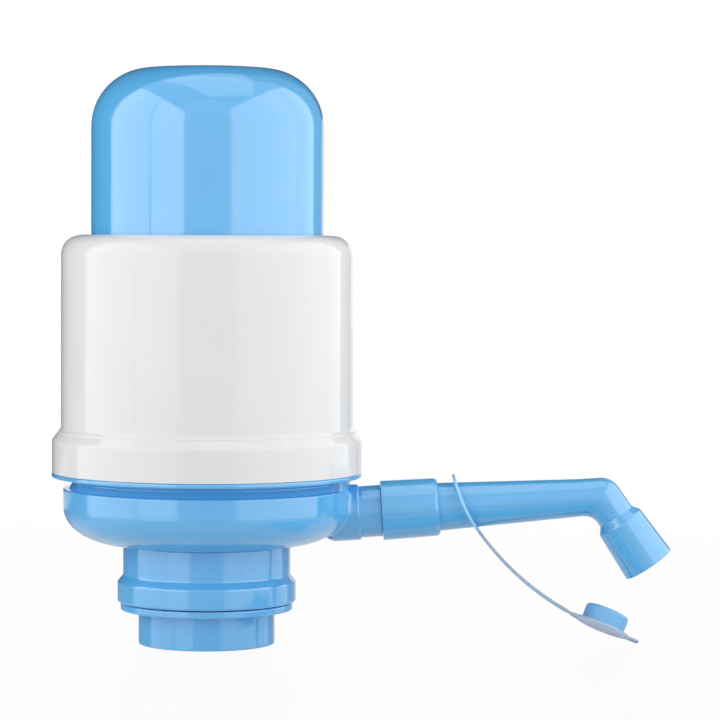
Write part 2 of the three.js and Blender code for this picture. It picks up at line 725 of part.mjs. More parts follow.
// Spout pipe: straight run, bend and nozzle in one moulding, as rings carried along its centre line
const pipeEndRadius = pipeRadius - pipeTaper;
const nozzleRadius = pipeRadius;
const nozzleMouthRadius = nozzleRadius + nozzleFlare;
const nozzleBore = nozzleMouthRadius - nozzleWall;
const bendTangent = elbowBendRadius * Math.tan((elbowBend / 2) * degree);
const bendStart = elbowReach - bendTangent;
const bendLength = elbowBendRadius * elbowBend * degree;
const afterBend = bendStart + bendLength;
const mouthPlace = afterBend - bendTangent + nozzleStart + nozzleLength;
const stepPlace = mouthPlace - nozzleLength;

// Place and heading of the centre line at a length from the boss's face: +X sideways, +Z ahead
function centreLine(length) {
  const turn = Math.min(Math.max((length - bendStart) / elbowBendRadius, 0), elbowBend * degree);
  const ahead = Math.min(length, bendStart);
  const beyond = Math.max(length - afterBend, 0);
  return {
    x: elbowBendRadius * (1 - Math.cos(turn)) + beyond * Math.sin(turn),
    z: ahead + elbowBendRadius * Math.sin(turn) + beyond * Math.cos(turn),
    turn,
  };
}

// A closed skin through rings [length, radius] that run out along the line and back inside it
function ringsAlongLine(rings, sides) {
  const positions = [];
  rings.forEach(([length, radius]) => {
    const { x, z, turn } = centreLine(length);
    for (let k = 0; k < sides; k += 1) {
      const angle = (2 * Math.PI * k) / sides;
      const across = radius * Math.cos(angle);
      positions.push(x + across * Math.cos(turn), radius * Math.sin(angle), z - across * Math.sin(turn));
    }
  });
  const index = [];
  rings.forEach((unused, i) => {
    const next = (i + 1) % rings.length;
    for (let k = 0; k < sides; k += 1) {
      const side = (k + 1) % sides;
      const [a, b, c, d] = [i * sides + k, i * sides + side, next * sides + side, next * sides + k];
      index.push(a, b, c, a, c, d);
    }
  });
  const geometry = new THREE.BufferGeometry();
  geometry.setAttribute("position", new THREE.BufferAttribute(new Float32Array(positions), 3));
  geometry.setIndex(index);
  return geometry;
}

function buildSpoutPipe() {
  const root = webEnd + runGap;
  const pipeBore = pipeRadius - pipeRootStep - pipeWall;
  const endBore = pipeEndRadius - pipeWall;
  const bendPlaces = Array.from({ length: curveSteps + 1 },
    (unused, i) => bendStart + (bendLength * i) / curveSteps);
  const boreTop = mouthPlace - nozzleBoreDepth;
  return ringsAlongLine([
    [root, pipeRadius - pipeRootStep], [couplingEnd, pipeRadius - pipeRootStep],
    [couplingEnd + runGap, pipeRadius],
    ...bendPlaces.map((place) => [place, pipeEndRadius]),
    [stepPlace, pipeEndRadius], [stepPlace, nozzleRadius - nozzleEdge],
    [stepPlace + nozzleEdge, nozzleRadius],
    [mouthPlace - nozzleEdge / 2, nozzleMouthRadius], [mouthPlace, nozzleMouthRadius - nozzleEdge / 2],
    [mouthPlace, nozzleBore], [boreTop, nozzleBore - nozzleEdge], [boreTop, endBore],
    ...bendPlaces.reverse().map((place) => [place, endBore]), [couplingEnd, pipeBore], [root, pipeBore],
  ], tubeSides);
}
spout.add(piece("spout_pipe", buildSpoutPipe(), blueGloss()));

// Tether: everything lies in the pump's middle plane, so places are (x, z) there.
// A lean is the angle from straight down, out towards +X.
const leanAhead = (lean) => at(Math.sin(lean * degree), -Math.cos(lean * degree));
const leanOver = (lean) => at(Math.cos(lean * degree), Math.sin(lean * degree));
const ringCentre = at(bossFaceX + tetherPlace, bossHeight + tetherPlace * Math.tan(spoutRise * degree));
const tetherRingBore = pipeRadius + tetherRingClearance;
const tetherRingRadius = tetherRingBore + tetherRingWidth;
const ringBendTurn = tetherRingRadius / tetherRingBend / degree;
const strapLean = tetherTilt + ringBendTurn;
const ringChord = 2 * tetherRingBend * Math.sin((ringBendTurn / 2) * degree);
const strapStart = ringCentre.clone().addScaledVector(leanAhead(tetherTilt + ringBendTurn / 2), ringChord);
const strapTurn = strapLength / strapBend / degree;
const bendCentre = strapStart.clone().addScaledVector(leanOver(strapLean), strapBend);
const strapEnd = bendCentre.clone().addScaledVector(leanOver(strapLean + strapTurn), -strapBend);
const capLean = strapLean + strapTurn + capTurn;

// A group whose +X runs down a lean and whose +Z stands square on it
function leaning(place, lean) {
  const group = new THREE.Group();
  group.position.set(place.x, 0, place.y);
  group.rotation.y = (90 - lean) * degree;
  return group;
}

// The ring is bent a little, like a saddle, because the strap's curve runs on into it
function buildTetherRing() {
  const half = tetherThickness / 2;
  const flat = ring(tetherRingBore, tetherRingRadius, -half, half, ringSides);
  const position = flat.getAttribute("position");
  for (let i = 0; i < position.count; i += 1) {
    position.setZ(i, position.getZ(i) + position.getX(i) ** 2 / (2 * tetherRingBend));
  }
  return flat;
}
const ringGroup = leaning(ringCentre, tetherTilt);
ringGroup.add(piece("tether_ring", buildTetherRing(), clearBlueSoft()));
pump.add(ringGroup);

function buildStrap() {
  const half = tetherThickness / 2;
  const clear = runGap / strapBend;
  const from = Math.PI + strapLean * degree + clear;
  const to = Math.PI + (strapLean + strapTurn) * degree - clear;
  const outline = new THREE.Shape();
  outline.absarc(bendCentre.x, bendCentre.y, strapBend + half, from, to, false);
  outline.absarc(bendCentre.x, bendCentre.y, strapBend - half, to, from, true);
  const strap = new THREE.ExtrudeGeometry(outline, {
    depth: strapWidth, curveSegments: curveSteps * 2, bevelEnabled: false,
  });
  return strap.rotateX(Math.PI / 2).translate(0, strapWidth / 2, 0);
}
pump.add(piece("tether_strap", buildStrap(), clearBlueSoft()));

// Dust cap: disc with a plug that is open at its far end, a root and a pull tab
const capRadius = nozzleMouthRadius + capReach;

function buildCap() {
  const half = tetherThickness / 2;
  const plugRadius = nozzleBore - plugClearance;
  const plugTop = half + plugHeight;
  const disc = toSolid(turned([
    at(0, -half), at(capRadius, -half), at(capRadius, half), at(plugRadius, half),
    at(plugRadius, plugTop - plugEdge),
    at(plugRadius - plugEdge / 3, plugTop - plugEdge / 3), at(plugRadius - plugEdge, plugTop),
    at(plugRadius - plugWall, plugTop - plugEdge / 3), at(plugRadius - plugWall, half), at(0, half),
  ], tubeSides));
  const rootFrom = -capRadius - capRootLength;
  const root = new THREE.BoxGeometry(capRootLength + capRadius / 2, strapWidth, tetherThickness);
  root.translate(rootFrom + (capRootLength + capRadius / 2) / 2, 0, 0);
  const tab = new THREE.BoxGeometry(tabLength + capRadius / 2, tabWidth, tetherThickness);
  tab.translate(capRadius + tabLength - (tabLength + capRadius / 2) / 2, 0, 0);
  return disc.add(toSolid(root)).add(toSolid(tab));
}
const capGroup = leaning(strapEnd, capLean);
const capBody = piece("dust_cap", buildCap(), clearBlueSoft());
capBody.position.x = capRadius + capRootLength + runGap / 2;
capBody.rotation.x = -capRoll * degree;
capGroup.add(capBody);
pump.add(capGroup);

export default pump;
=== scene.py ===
"""Hand pump for a large water bottle, in moulded plastic, as it stands on its neck sleeve."""
import json
from math import atan, atan2, cos, pi, radians, sin, sqrt, tan

import bpy
import numpy as np
from mathutils import Euler, Matrix, Vector


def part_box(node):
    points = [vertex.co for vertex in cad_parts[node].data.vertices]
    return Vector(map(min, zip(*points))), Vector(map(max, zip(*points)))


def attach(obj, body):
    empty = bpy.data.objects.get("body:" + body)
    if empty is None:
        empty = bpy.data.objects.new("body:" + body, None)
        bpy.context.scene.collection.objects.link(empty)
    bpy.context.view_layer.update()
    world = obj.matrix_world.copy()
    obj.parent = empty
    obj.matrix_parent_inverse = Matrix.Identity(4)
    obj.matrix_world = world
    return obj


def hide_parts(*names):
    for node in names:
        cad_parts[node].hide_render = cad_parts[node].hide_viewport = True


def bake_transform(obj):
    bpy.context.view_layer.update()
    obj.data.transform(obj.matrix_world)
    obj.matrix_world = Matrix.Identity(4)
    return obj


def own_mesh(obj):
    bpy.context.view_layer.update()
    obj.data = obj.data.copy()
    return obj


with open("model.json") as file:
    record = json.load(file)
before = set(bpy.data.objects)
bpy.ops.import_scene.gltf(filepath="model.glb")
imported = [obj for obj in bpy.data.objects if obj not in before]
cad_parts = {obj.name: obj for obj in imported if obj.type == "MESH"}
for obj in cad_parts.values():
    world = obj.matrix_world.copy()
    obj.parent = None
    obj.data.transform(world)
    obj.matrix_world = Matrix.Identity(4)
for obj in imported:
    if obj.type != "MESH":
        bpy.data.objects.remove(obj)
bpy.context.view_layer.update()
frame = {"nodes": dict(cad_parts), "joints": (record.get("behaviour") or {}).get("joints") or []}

scene = bpy.context.scene
scene.view_settings.view_transform = "Standard"


# Camera. The photograph was taken from the front through a long lens, a little above the casing's rim.
# Rows and columns are pixels of the 720 x 720 photograph, and the distances are in metres.
frame_pixels = 720
focal_pixels = 3028
pump_axis_column = 207.2
horizon_row = 231.4
camera_distance = 1.288
camera_height = 0.1758
camera_roll = radians(0.27)

camera_data = bpy.data.cameras.new("photo_camera")
camera_data.sensor_width = 36
camera_data.lens = camera_data.sensor_width * focal_pixels / frame_pixels
camera = bpy.data.objects.new("photo_camera", camera_data)
scene.collection.objects.link(camera)
scene.camera = camera
camera_pitch = atan((frame_pixels / 2 - horizon_row) / focal_pixels)
looking = Euler((pi / 2 - camera_pitch, 0, 0)).to_matrix() @ Matrix.Rotation(camera_roll, 3, "Z")
axis_offset = (frame_pixels / 2 - pump_axis_column) / focal_pixels * camera_distance
camera.matrix_world = Matrix.Translation((axis_offset, -camera_distance, camera_height)) @ looking.to_4x4()


# Floor and background. A sheet of white acrylic that keeps the pump's soft shadow, in a white surround. The
# camera sees it mixed towards plain white, more so further out. Reflections see it plain white near the pump,
# and as the acrylic that it is further out and at grazing angles.
floor_half = 4.0
floor_drop = 0.0001
floor_hex = "#d0d0cf"
floor_roughness = 0.08
floor_ior = 1.49
floor_white_share = 0.93
table_radius = 0.25
table_fade = 0.5
reflected_radius = 0.15
reflected_fade = 0.13
reflected_far_share = 0.15
grazing_share = 0.1
grazing_from = 0.9
grazing_to = 0.5
ambient = 0.08


def linear(text):
    """Linear colour of an sRGB hex value: each channel through the sRGB curve."""
    channels = np.array([int(text[i:i + 2], 16) for i in (1, 3, 5)]) / 255
    curved = np.where(channels <= 0.04045, channels / 12.92, ((channels + 0.055) / 1.055) ** 2.4)
    return (*curved, 1.0)


def add_node(tree, kind, inputs=None, **settings):
    """Adds a node to a tree, sets its settings, and sets or links its inputs."""
    made = tree.nodes.new(kind)
    for name, value in settings.items():
        setattr(made, name, value)
    for name, value in (inputs or {}).items():
        if isinstance(value, bpy.types.NodeSocket):
            tree.links.new(value, made.inputs[name])
        else:
            made.inputs[name].default_value = value
    return made


def new_material(name):
    """An empty material and its node tree."""
    material = bpy.data.materials.new(name)
    material.use_nodes = True
    material.node_tree.nodes.clear()
    return material, material.node_tree


def seen_share(tree, camera_share, reflected_share):
    """A share for rays of the camera, another for reflections and transmission, and 0 for falling light."""
    path = add_node(tree, "ShaderNodeLightPath").outputs
    mirrored = add_node(tree, "ShaderNodeMath", {0: path["Is Glossy Ray"], 1: path["Is Transmission Ray"]},
                        operation="MAXIMUM")
    reflected = add_node(tree, "ShaderNodeMath", {0: mirrored.outputs[0], 1: reflected_share},
                         operation="MULTIPLY")
    direct = add_node(tree, "ShaderNodeMath", {0: path["Is Camera Ray"], 1: camera_share},
                      operation="MULTIPLY")
    both = add_node(tree, "ShaderNodeMath", {0: direct.outputs[0], 1: reflected.outputs[0]},
                    operation="MAXIMUM")
    return both.outputs[0]


floor_mesh = bpy.data.meshes.new("floor")
corners = np.array([(-1, -1), (1, -1), (1, 1), (-1, 1)]) * floor_half
floor_mesh.from_pydata([(x, y, -floor_drop) for x, y in corners], [], [(0, 1, 2, 3)])
floor = bpy.data.objects.new("floor", floor_mesh)
scene.collection.objects.link(floor)

acrylic, tree = new_material("white_acrylic_sheet")
lit = add_node(tree, "ShaderNodeBsdfPrincipled", {
    "Base Color": linear(floor_hex), "Roughness": floor_roughness, "IOR": floor_ior})
plain = add_node(tree, "ShaderNodeEmission", {"Color": (1, 1, 1, 1), "Strength": 1.0})
place = add_node(tree, "ShaderNodeTexCoord").outputs["Object"]
out = add_node(tree, "ShaderNodeVectorMath", {0: place}, operation="LENGTH").outputs["Value"]
whiter = add_node(tree, "ShaderNodeMapRange", {
    "Value": out, "From Min": table_radius, "From Max": table_radius + table_fade,
    "To Min": floor_white_share, "To Max": 1.0}, interpolation_type="SMOOTHSTEP")
reflected = add_node(tree, "ShaderNodeMapRange", {
    "Value": out, "From Min": reflected_radius, "From Max": reflected_radius + reflected_fade,
    "To Min": 1.0, "To Max": reflected_far_share}, interpolation_type="SMOOTHSTEP")
grazing = add_node(tree, "ShaderNodeLayerWeight", {"Blend": 0.5}).outputs["Facing"]
steep = add_node(tree, "ShaderNodeMapRange", {
    "Value": grazing, "From Min": grazing_from, "From Max": grazing_to,
    "To Min": grazing_share, "To Max": 1.0})
whitened = add_node(tree, "ShaderNodeMath", {0: reflected.outputs[0], 1: steep.outputs[0]},
                    operation="MULTIPLY")
share = seen_share(tree, whiter.outputs[0], whitened.outputs[0])
mixed = add_node(tree, "ShaderNodeMixShader", {0: share, 1: lit.outputs[0], 2: plain.outputs[0]})
add_node(tree, "ShaderNodeOutputMaterial", {"Surface": mixed.outputs[0]})
floor_mesh.materials.append(acrylic)

world = bpy.data.worlds.new("white_surround")
scene.world = world
world.use_nodes = True
tree = world.node_tree
tree.nodes.clear()
dim = add_node(tree, "ShaderNodeBackground", {"Color": (1, 1, 1, 1), "Strength": ambient})
white = add_node(tree, "ShaderNodeBackground", {"Color": (1, 1, 1, 1), "Strength": 1.0})
share = seen_share(tree, 1.0, 1.0)
mixed = add_node(tree, "ShaderNodeMixShader", {0: share, 1: dim.outputs[0], 2: white.outputs[0]})
add_node(tree, "ShaderNodeOutputWorld", {"Surface": mixed.outputs[0]})


# Softboxes. Two stand at the left with a thin seam between them, two at the right, and one hangs overhead.
# Narrow dimmer ones soften the front end of each side. Each is a flat panel whose brightness is the radiance
# that a reflection of it shows, 1 being white.
side_distance = 0.85
side_height = 1.25
left_radiance = 2.35
left_rear_share = 0.85
left_start = 20
left_split = 53
left_seam = 1.5
left_end = 105
right_radiance = 1.9
right_rear_share = 0.7
right_start = 28
right_split = 98
right_end = 129
soft_edge_step = 2.4
soft_edge_shares = (0.75, 0.5, 0.25)
overhead_middle = (0.17, -0.1, 1.34)
overhead_size = (1.25, 0.9)
overhead_radiance = 1.0
overhead_turn = radians(-60)


def softbox(name, centre, facing, width, height, radiance, turn=0.0):
    """A flat area lamp at centre that shines towards facing; its power is radiance x pi x area."""
    data = bpy.data.lights.new(name, "AREA")
    data.shape = "RECTANGLE"
    data.size = width
    data.size_y = height
    data.energy = radiance * pi * width * height
    lamp = bpy.data.objects.new(name, data)
    aim = Vector(facing) - Vector(centre)
    lamp.matrix_world = (Matrix.Translation(centre) @ aim.to_track_quat("-Z", "Y").to_matrix().to_4x4()
                         @ Matrix.Rotation(turn, 4, "Z"))
    scene.collection.objects.link(lamp)
    lamp.visible_camera = False


def side_softbox(name, side, near_angle, far_angle, radiance):
    """A wall of light parallel to the view, at the left (-1) or right (1) of the pump. The angles are
    measured at the pump, from the direction of the camera, to the wall's two ends."""
    near = -side_distance / tan(radians(near_angle))
    far = -side_distance / tan(radians(far_angle))
    middle = (side * side_distance, (near + far) / 2, side_height / 2)
    softbox(name, middle, (0, middle[1], middle[2]), far - near, side_height, radiance)


side_softbox("left_front_softbox", -1, left_start, left_split, left_radiance)
side_softbox("left_rear_softbox", -1, left_split + left_seam, left_end, left_radiance * left_rear_share)
side_softbox("right_front_softbox", 1, right_start, right_split, right_radiance)
side_softbox("right_rear_softbox", 1, right_split, right_end, right_radiance * right_rear_share)
fronts = (("left", -1, left_start, left_radiance), ("right", 1, right_start, right_radiance))
for step, share in enumerate(soft_edge_shares):
    for label, side, start, radiance in fronts:
        side_softbox(f"{label}_soft_edge_{step}", side, start - soft_edge_step * (step + 1),
                     start - soft_edge_step * step, radiance * share)
softbox("overhead_softbox", overhead_middle, (*overhead_middle[:2], 0), *overhead_size, overhead_radiance,
        overhead_turn)


# Cards. Two dark ones and a grey one stand outside the picture behind the pump, a white one stands behind the
# camera and a blue one lies before the spout. Only reflections see them: they draw the dull bands between the
# softboxes, the dark edges of glossy round parts and the deep blue underside of the spout.
card_bottom = 0.01
card_top = 2.2
rear_cards = 0.6
left_card_end = -2.6
dome_card_ends = (-0.17, 0.30)
dome_card_bottom = 0.27
right_card_end = 0.73
camera_card_y = -1.8
camera_card_ends = (0.96, -0.66)
blue_card_ends = (0.08, 0.2)
blue_card_depths = (-0.1, -0.02)
blue_card_height = 0.0025
blue_card_colour = (0.2, 0.6, 1.0)
dark_shade = 0.03
grey_shade = 0.3
white_shade = 1.3
blue_shade = 1.2


def card(name, across, deep, high, shade, colour=(1, 1, 1)):
    """A flat card that spans two values of x, of y and of z. Reflections see its shade times its colour on
    the side that it faces, which swapping the values of x turns round, and see through its other side."""
    material, tree = new_material(name)
    plain = add_node(tree, "ShaderNodeEmission", {"Color": (*colour, 1), "Strength": shade})
    clear = add_node(tree, "ShaderNodeBsdfTransparent")
    behind = add_node(tree, "ShaderNodeNewGeometry").outputs["Backfacing"]
    one_sided = add_node(tree, "ShaderNodeMixShader", {0: behind, 1: plain.outputs[0], 2: clear.outputs[0]})
    add_node(tree, "ShaderNodeOutputMaterial", {"Surface": one_sided.outputs[0]})
    mesh = bpy.data.meshes.new(name)
    low = [(x, deep[0], high[0]) for x in across]
    top = [(x, deep[1], high[1]) for x in reversed(across)]
    mesh.from_pydata([*low, *top], [], [(0, 1, 2, 3)])
    mesh.materials.append(material)
    made = bpy.data.objects.new(name, mesh)
    scene.collection.objects.link(made)
    made.visible_camera = False
    made.visible_diffuse = False
    made.visible_shadow = False


rear = (rear_cards, rear_cards)
upright = (card_bottom, card_top)
card("left_card", (left_card_end, dome_card_ends[0]), rear, upright, dark_shade)
card("right_card", (dome_card_ends[1], right_card_end), rear, upright, grey_shade)
card("card_behind_the_dome", dome_card_ends, rear, (dome_card_bottom, card_top), dark_shade)
card("camera_card", camera_card_ends, (camera_card_y, camera_card_y), upright, white_shade)
card("card_before_the_spout", blue_card_ends, blue_card_depths, (blue_card_height, blue_card_height),
     blue_shade, blue_card_colour)


# Neck sleeve. A thin blue tube that slips over the bottle's neck, with a flange for the fingers.
# It is injection moulded in ABS and hangs in the base by lugs on its hidden skirt.
mm = 0.001
sleeve_bore = 27.8
tube_radius = 29.0
tube_height = 14.6
sleeve_skirt_radius = 29.6
flange_thickness = 3.0
round_sides = 192
sharp_angle = radians(35)


def span(node):
    """Lowest and highest corner of a node of the frame, in millimetres."""
    low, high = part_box(node)
    return np.array(low) / mm, np.array(high) / mm


def rounded(corners, turns=6, support=0.3):
    """An outline through corners (r, z, fillet), in mm. Each fillet is the arc that touches both sides of its
    corner: its ends lie fillet / tan(half angle) from the corner, and its radius is swept from one end to the
    other at equal angles. One more point stands near each end, so that the sides stay flat in the shading."""
    points = np.array([corner[:2] for corner in corners], float)
    fillet = np.array([corner[2] for corner in corners], float)
    before = np.roll(points, 1, axis=0) - points
    after = np.roll(points, -1, axis=0) - points
    before_length = np.linalg.norm(before, axis=1)
    after_length = np.linalg.norm(after, axis=1)
    before /= before_length[:, None]
    after /= after_length[:, None]
    half = np.arccos(np.clip((before * after).sum(axis=1), -1, 1)) / 2
    reach = fillet / np.tan(np.maximum(half, 1e-6))
    free_before = before_length - reach - np.roll(reach, 1)
    free_after = after_length - reach - np.roll(reach, -1)
    outline = []
    for i in range(len(points)):
        if fillet[i] == 0:
            outline.append(points[i])
            continue
        bisector = (before[i] + after[i]) / np.linalg.norm(before[i] + after[i])
        centre = points[i] + bisector * fillet[i] / sin(half[i])
        first = points[i] + before[i] * reach[i] - centre
        last = points[i] + after[i] * reach[i] - centre
        swept = pi - 2 * half[i]
        share = np.linspace(0, 1, turns + 1)[:, None]
        arc = centre + (np.sin((1 - share) * swept) * first + np.sin(share * swept) * last) / sin(swept)
        outline.append(points[i] + before[i] * (reach[i] + min(support, free_before[i] / 4)))
        outline.extend(arc)
        outline.append(points[i] + after[i] * (reach[i] + min(support, free_after[i] / 4)))
    return np.array(outline)


def surface(name, grid, closed=True):
    """A mesh over a grid of points in mm, rows by columns. The columns run round and meet, and so do the rows
    if closed. A row whose points coincide is a pole, kept as one vertex, and its quads become triangles."""
    rows, columns = grid.shape[:2]
    pole = np.ptp(grid, axis=1).max(axis=1) < 1e-6
    index = np.arange(rows * columns).reshape(rows, columns)
    index = np.where(pole[:, None], index[:, :1], index)
    used, inverse = np.unique(index, return_inverse=True)
    index = inverse.reshape(rows, columns)
    this = index if closed else index[:-1]
    ahead = np.roll(index, -1, axis=0) if closed else index[1:]
    quads = np.stack([this, np.roll(this, -1, axis=1), np.roll(ahead, -1, axis=1), ahead], axis=2)
    quads = quads.reshape(-1, 4)
    start_pole = quads[:, 0] == quads[:, 1]
    end_pole = quads[:, 2] == quads[:, 3]
    faces = [*quads[~(start_pole | end_pole)].tolist(), *quads[start_pole & ~end_pole][:, 1:].tolist(),
             *quads[end_pole & ~start_pole][:, :3].tolist()]
    mesh = bpy.data.meshes.new(name)
    mesh.from_pydata(grid.reshape(-1, 3)[used] * mm, [], faces)
    mesh.validate()
    piece = bpy.data.objects.new(name, mesh)
    scene.collection.objects.link(piece)
    return piece


def rings(r, z, angle):
    """Points (r cos angle, r sin angle, z), with the three stretched to the same rows and columns."""
    r, z, angle = np.broadcast_arrays(r, z, angle)
    return np.stack([r * np.cos(angle), r * np.sin(angle), z], axis=-1)


def turned(name, outline, sides=round_sides, closed=True):
    """A body of revolution about +Z: each outline point (r, z) runs round as a ring.
    The outline is drawn anticlockwise, or from the axis round to the axis if it isn't closed."""
    angle = np.linspace(0, 2 * pi, sides, endpoint=False)
    return surface(name, rings(outline[:, :1], outline[:, 1:], angle), closed)


def dress(piece, slot, material, *nodes):
    """Gives a piece its material and smooth shading with the sharper edges left sharp, and hides the nodes of
    the frame that it stands for. Its slot is not used."""
    piece.data.materials.clear()
    piece.data.materials.append(material)
    piece.data.shade_smooth()
    piece.data.set_sharp_from_angle(angle=sharp_angle)
    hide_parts(*nodes)
    return piece


def clouded(tree, colour, cloud_colour, size, detail, low=0.35, high=0.65, most=1.0):
    """The colour of a plastic with flow or bloom clouds of another colour in it, about size mm wide. They go
    from nothing to their most where noise on the piece's own place rises from low to high."""
    place = add_node(tree, "ShaderNodeTexCoord").outputs["Object"]
    clouds = add_node(tree, "ShaderNodeTexNoise", {
        "Vector": place, "Scale": 1 / (size * mm), "Detail": detail})
    share = add_node(tree, "ShaderNodeMapRange", {
        "Value": clouds.outputs[0], "From Min": low, "From Max": high, "To Min": 0.0, "To Max": most})
    tint = add_node(tree, "ShaderNodeMix", {
        "Factor": share.outputs[0], "A": linear(colour), "B": linear(cloud_colour)}, data_type="RGBA")
    return tint.outputs["Result"]


def rippled(tree, size, detail, strength, depth):
    """The relief that a mould leaves: a normal that follows ripples about size mm wide and depth mm deep."""
    place = add_node(tree, "ShaderNodeTexCoord").outputs["Object"]
    ripples = add_node(tree, "ShaderNodeTexNoise", {
        "Vector": place, "Scale": 1 / (size * mm), "Detail": detail})
    relief = add_node(tree, "ShaderNodeBump", {
        "Height": ripples.outputs[0], "Strength": strength, "Distance": depth * mm})
    return relief.outputs[0]


def gloss_abs(name, colour, flow_colour, roughness, specular):
    """Injection moulded ABS from a polished mould: an even, opaque colour with hardly visible flow clouds,
    sharp but faintly wavy reflections, and a slightly duller skin in patches where hands and cloths pass."""
    material, tree = new_material(name)
    place = add_node(tree, "ShaderNodeTexCoord").outputs["Object"]
    handled = add_node(tree, "ShaderNodeTexNoise", {"Vector": place, "Scale": 1 / (18 * mm), "Detail": 4.0})
    dull = add_node(tree, "ShaderNodeMapRange", {
        "Value": handled.outputs[0], "From Min": 0.3, "From Max": 0.7,
        "To Min": roughness * 0.8, "To Max": roughness * 1.3})
    shader = add_node(tree, "ShaderNodeBsdfPrincipled", {
        "Base Color": clouded(tree, colour, flow_colour, size=45, detail=2.0),
        "Roughness": dull.outputs[0], "IOR": 1.54, "Specular IOR Level": specular,
        "Normal": rippled(tree, size=14, detail=1.0, strength=1.0, depth=0.02)})
    add_node(tree, "ShaderNodeOutputMaterial", {"Surface": shader.outputs[0]})
    return material


blue_abs = gloss_abs("sky_blue_moulded_abs", "#5eb3ea", "#5cb1e9", 0.1, 0.75)

sleeve_high = span("neck_sleeve")[1]
flange_radius = sleeve_high[0]
flange_top = tube_height + flange_thickness
neck_sleeve = turned("sleeve_tube_and_flange", rounded([
    (sleeve_bore, 0, 0.3), (tube_radius, 0, 0.5), (tube_radius, tube_height, 0.4),
    (flange_radius, tube_height, 0.6), (flange_radius, flange_top, 0.6),
    (sleeve_skirt_radius, flange_top, 0.3), (sleeve_skirt_radius, sleeve_high[2], 0.3),
    (sleeve_bore, sleeve_high[2], 0.3)]))
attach(dress(neck_sleeve, "blue_abs", blue_abs, "neck_sleeve"), "sleeve")


# Lock collar. The blue ring that is turned to lock the pump on the bottle, with a wider grip band below.
# It is moulded in the same ABS and snaps on the base's neck wall.
collar_bore = 32.5
collar_radius = 35.6
band_height = 8.3
collar_slope = 3.0
collar_top_rise = 0.45
collar_foot_drop = 0.3

collar_low, collar_high = span("lock_collar")
band_top = collar_low[2] + band_height
collar_top = collar_high[2] + collar_top_rise
collar_foot = collar_low[2] - collar_foot_drop
lock_collar = turned("turning_collar", rounded([
    (collar_bore, collar_foot, 0.3), (collar_high[0], collar_foot, 0.9), (collar_high[0], band_top, 1.6),
    (collar_radius, band_top + collar_slope, 1.4), (collar_radius, collar_top, 0.6),
    (collar_bore, collar_top, 0.3)]))
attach(dress(lock_collar, "blue_abs", blue_abs, "lock_collar"), "collar")


# Base bowl. The blue bowl under the casing with a lip that the casing sits on, a groove under the lip and the
# wall round the bottle's neck. The spout's boss, stub and spigot are part of the same ABS moulding, and the
# floor has a hole for the suction nipple and air holes round it.
neck_inner = 29.9
neck_outer = 32.2
bead_reach = 1.1
bead_height = 1.8
bead_drop = 5.4
collar_clearance = 0.6
bowl_floor = 2.4
flat_radius = 36.0
bowl_turn_run = 25.0
bowl_turn_rise = 15.6
bowl_wall_height = 8.2
rim_groove_depth = 2.5
rim_groove_height = 5.0
rim_groove_lean = 1.8
lip_thickness = 1.8
lip_slope = 1.6
wall = 2.2
spigot_wall = 2.3
boss_radius = 11.9
boss_edge = 0.9
boss_depth = 13.0
boss_fillet = 2.6
boss_sink = 2.2
boss_lead = 3.0
root_inset = 0.2
root_depth = 0.8
core_inset = 3.5
core_depth = 1.0
graze_run = 3
spread_step = 0.3
groove_step = 1.0
stub_radius = 11.0
stub_length = 9.2
spigot_radius = 9.6
spigot_length = 26.8
seal_middle = 17.9
seal_width = 1.4
seal_depth = 1.2
water_bore = 6.4
air_hole_radius = 1.8
air_hole_circle = 16.0
air_holes = 4
nipple_hole = 6.3
pad_half_angle = 16.0
pad_end_angle = 3.5
pad_inset = 0.3
pad_drop = 0.5
crease_support = 0.3
overrun = 1
water_way_start = -20
search_start = -40.0
search_end = 10.0
halvings = 40

bowl_low, bowl_high = span("base_bowl")
lip_radius = -bowl_low[0]
bowl_bottom = collar_high[2] + collar_clearance
floor_top = bowl_bottom + bowl_floor
turn_top = bowl_bottom + bowl_turn_rise
bowl_top = turn_top + bowl_wall_height
bowl_radius = flat_radius + bowl_turn_run
groove_radius = bowl_radius - rim_groove_depth
groove_root = groove_radius - rim_groove_lean
groove_top = bowl_top + rim_groove_height
lip_top = groove_top + lip_thickness
deck_radius = span("air_deck")[1][0]
bead_middle = collar_high[2] - bead_drop
joints = {joint["name"]: joint for joint in frame["joints"]}
spout_origin = np.array(joints["spout_swivel"]["pos_m"]) / mm
spout_axis = np.array(joints["spout_swivel"]["axis"])
spout_rise = atan2(spout_axis[2], spout_axis[0])
along_spout = Matrix.Rotation(pi / 2 - spout_rise, 4, "Y")
spout_place = Matrix.Translation(Vector(spout_origin) * mm) @ along_spout


def smooth(share):
    """A smooth step: 3 share squared less 2 share cubed, for a share kept between 0 and 1."""
    share = np.clip(share, 0, 1)
    return share * share * (3 - 2 * share)


def ellipse_arc(centre, run, rise, first, last, steps):
    """Points (r, z) at centre + (run cos a, rise sin a), for angles a from first to last degrees."""
    angle = np.radians(np.linspace(first, last, steps + 1))
    return np.stack([centre[0] + run * np.cos(angle), centre[1] + rise * np.sin(angle)], axis=1)


def carve(piece, tool, how="DIFFERENCE"):
    """Cuts a closed tool out of a closed piece, or joins it on with UNION, and drops the tool."""
    modifier = piece.modifiers.new("carve", "BOOLEAN")
    modifier.operation = how
    modifier.solver = "EXACT"
    modifier.object = tool
    made = bpy.data.meshes.new_from_object(piece.evaluated_get(bpy.context.evaluated_depsgraph_get()))
    piece.modifiers.clear()
    piece.data = made
    bpy.data.objects.remove(tool)


def bar(name, radius, low, high, place=(0, 0, 0), turn=Matrix.Identity(4), sides=64):
    """A round bar about +Z from low to high, turned and put in its place, all in mm."""
    made = turned(name, np.array([(0, low), (radius, low), (radius, high), (0, high)]), sides, closed=False)
    made.data.transform(Matrix.Translation(Vector(place) * mm) @ turn)
    return made


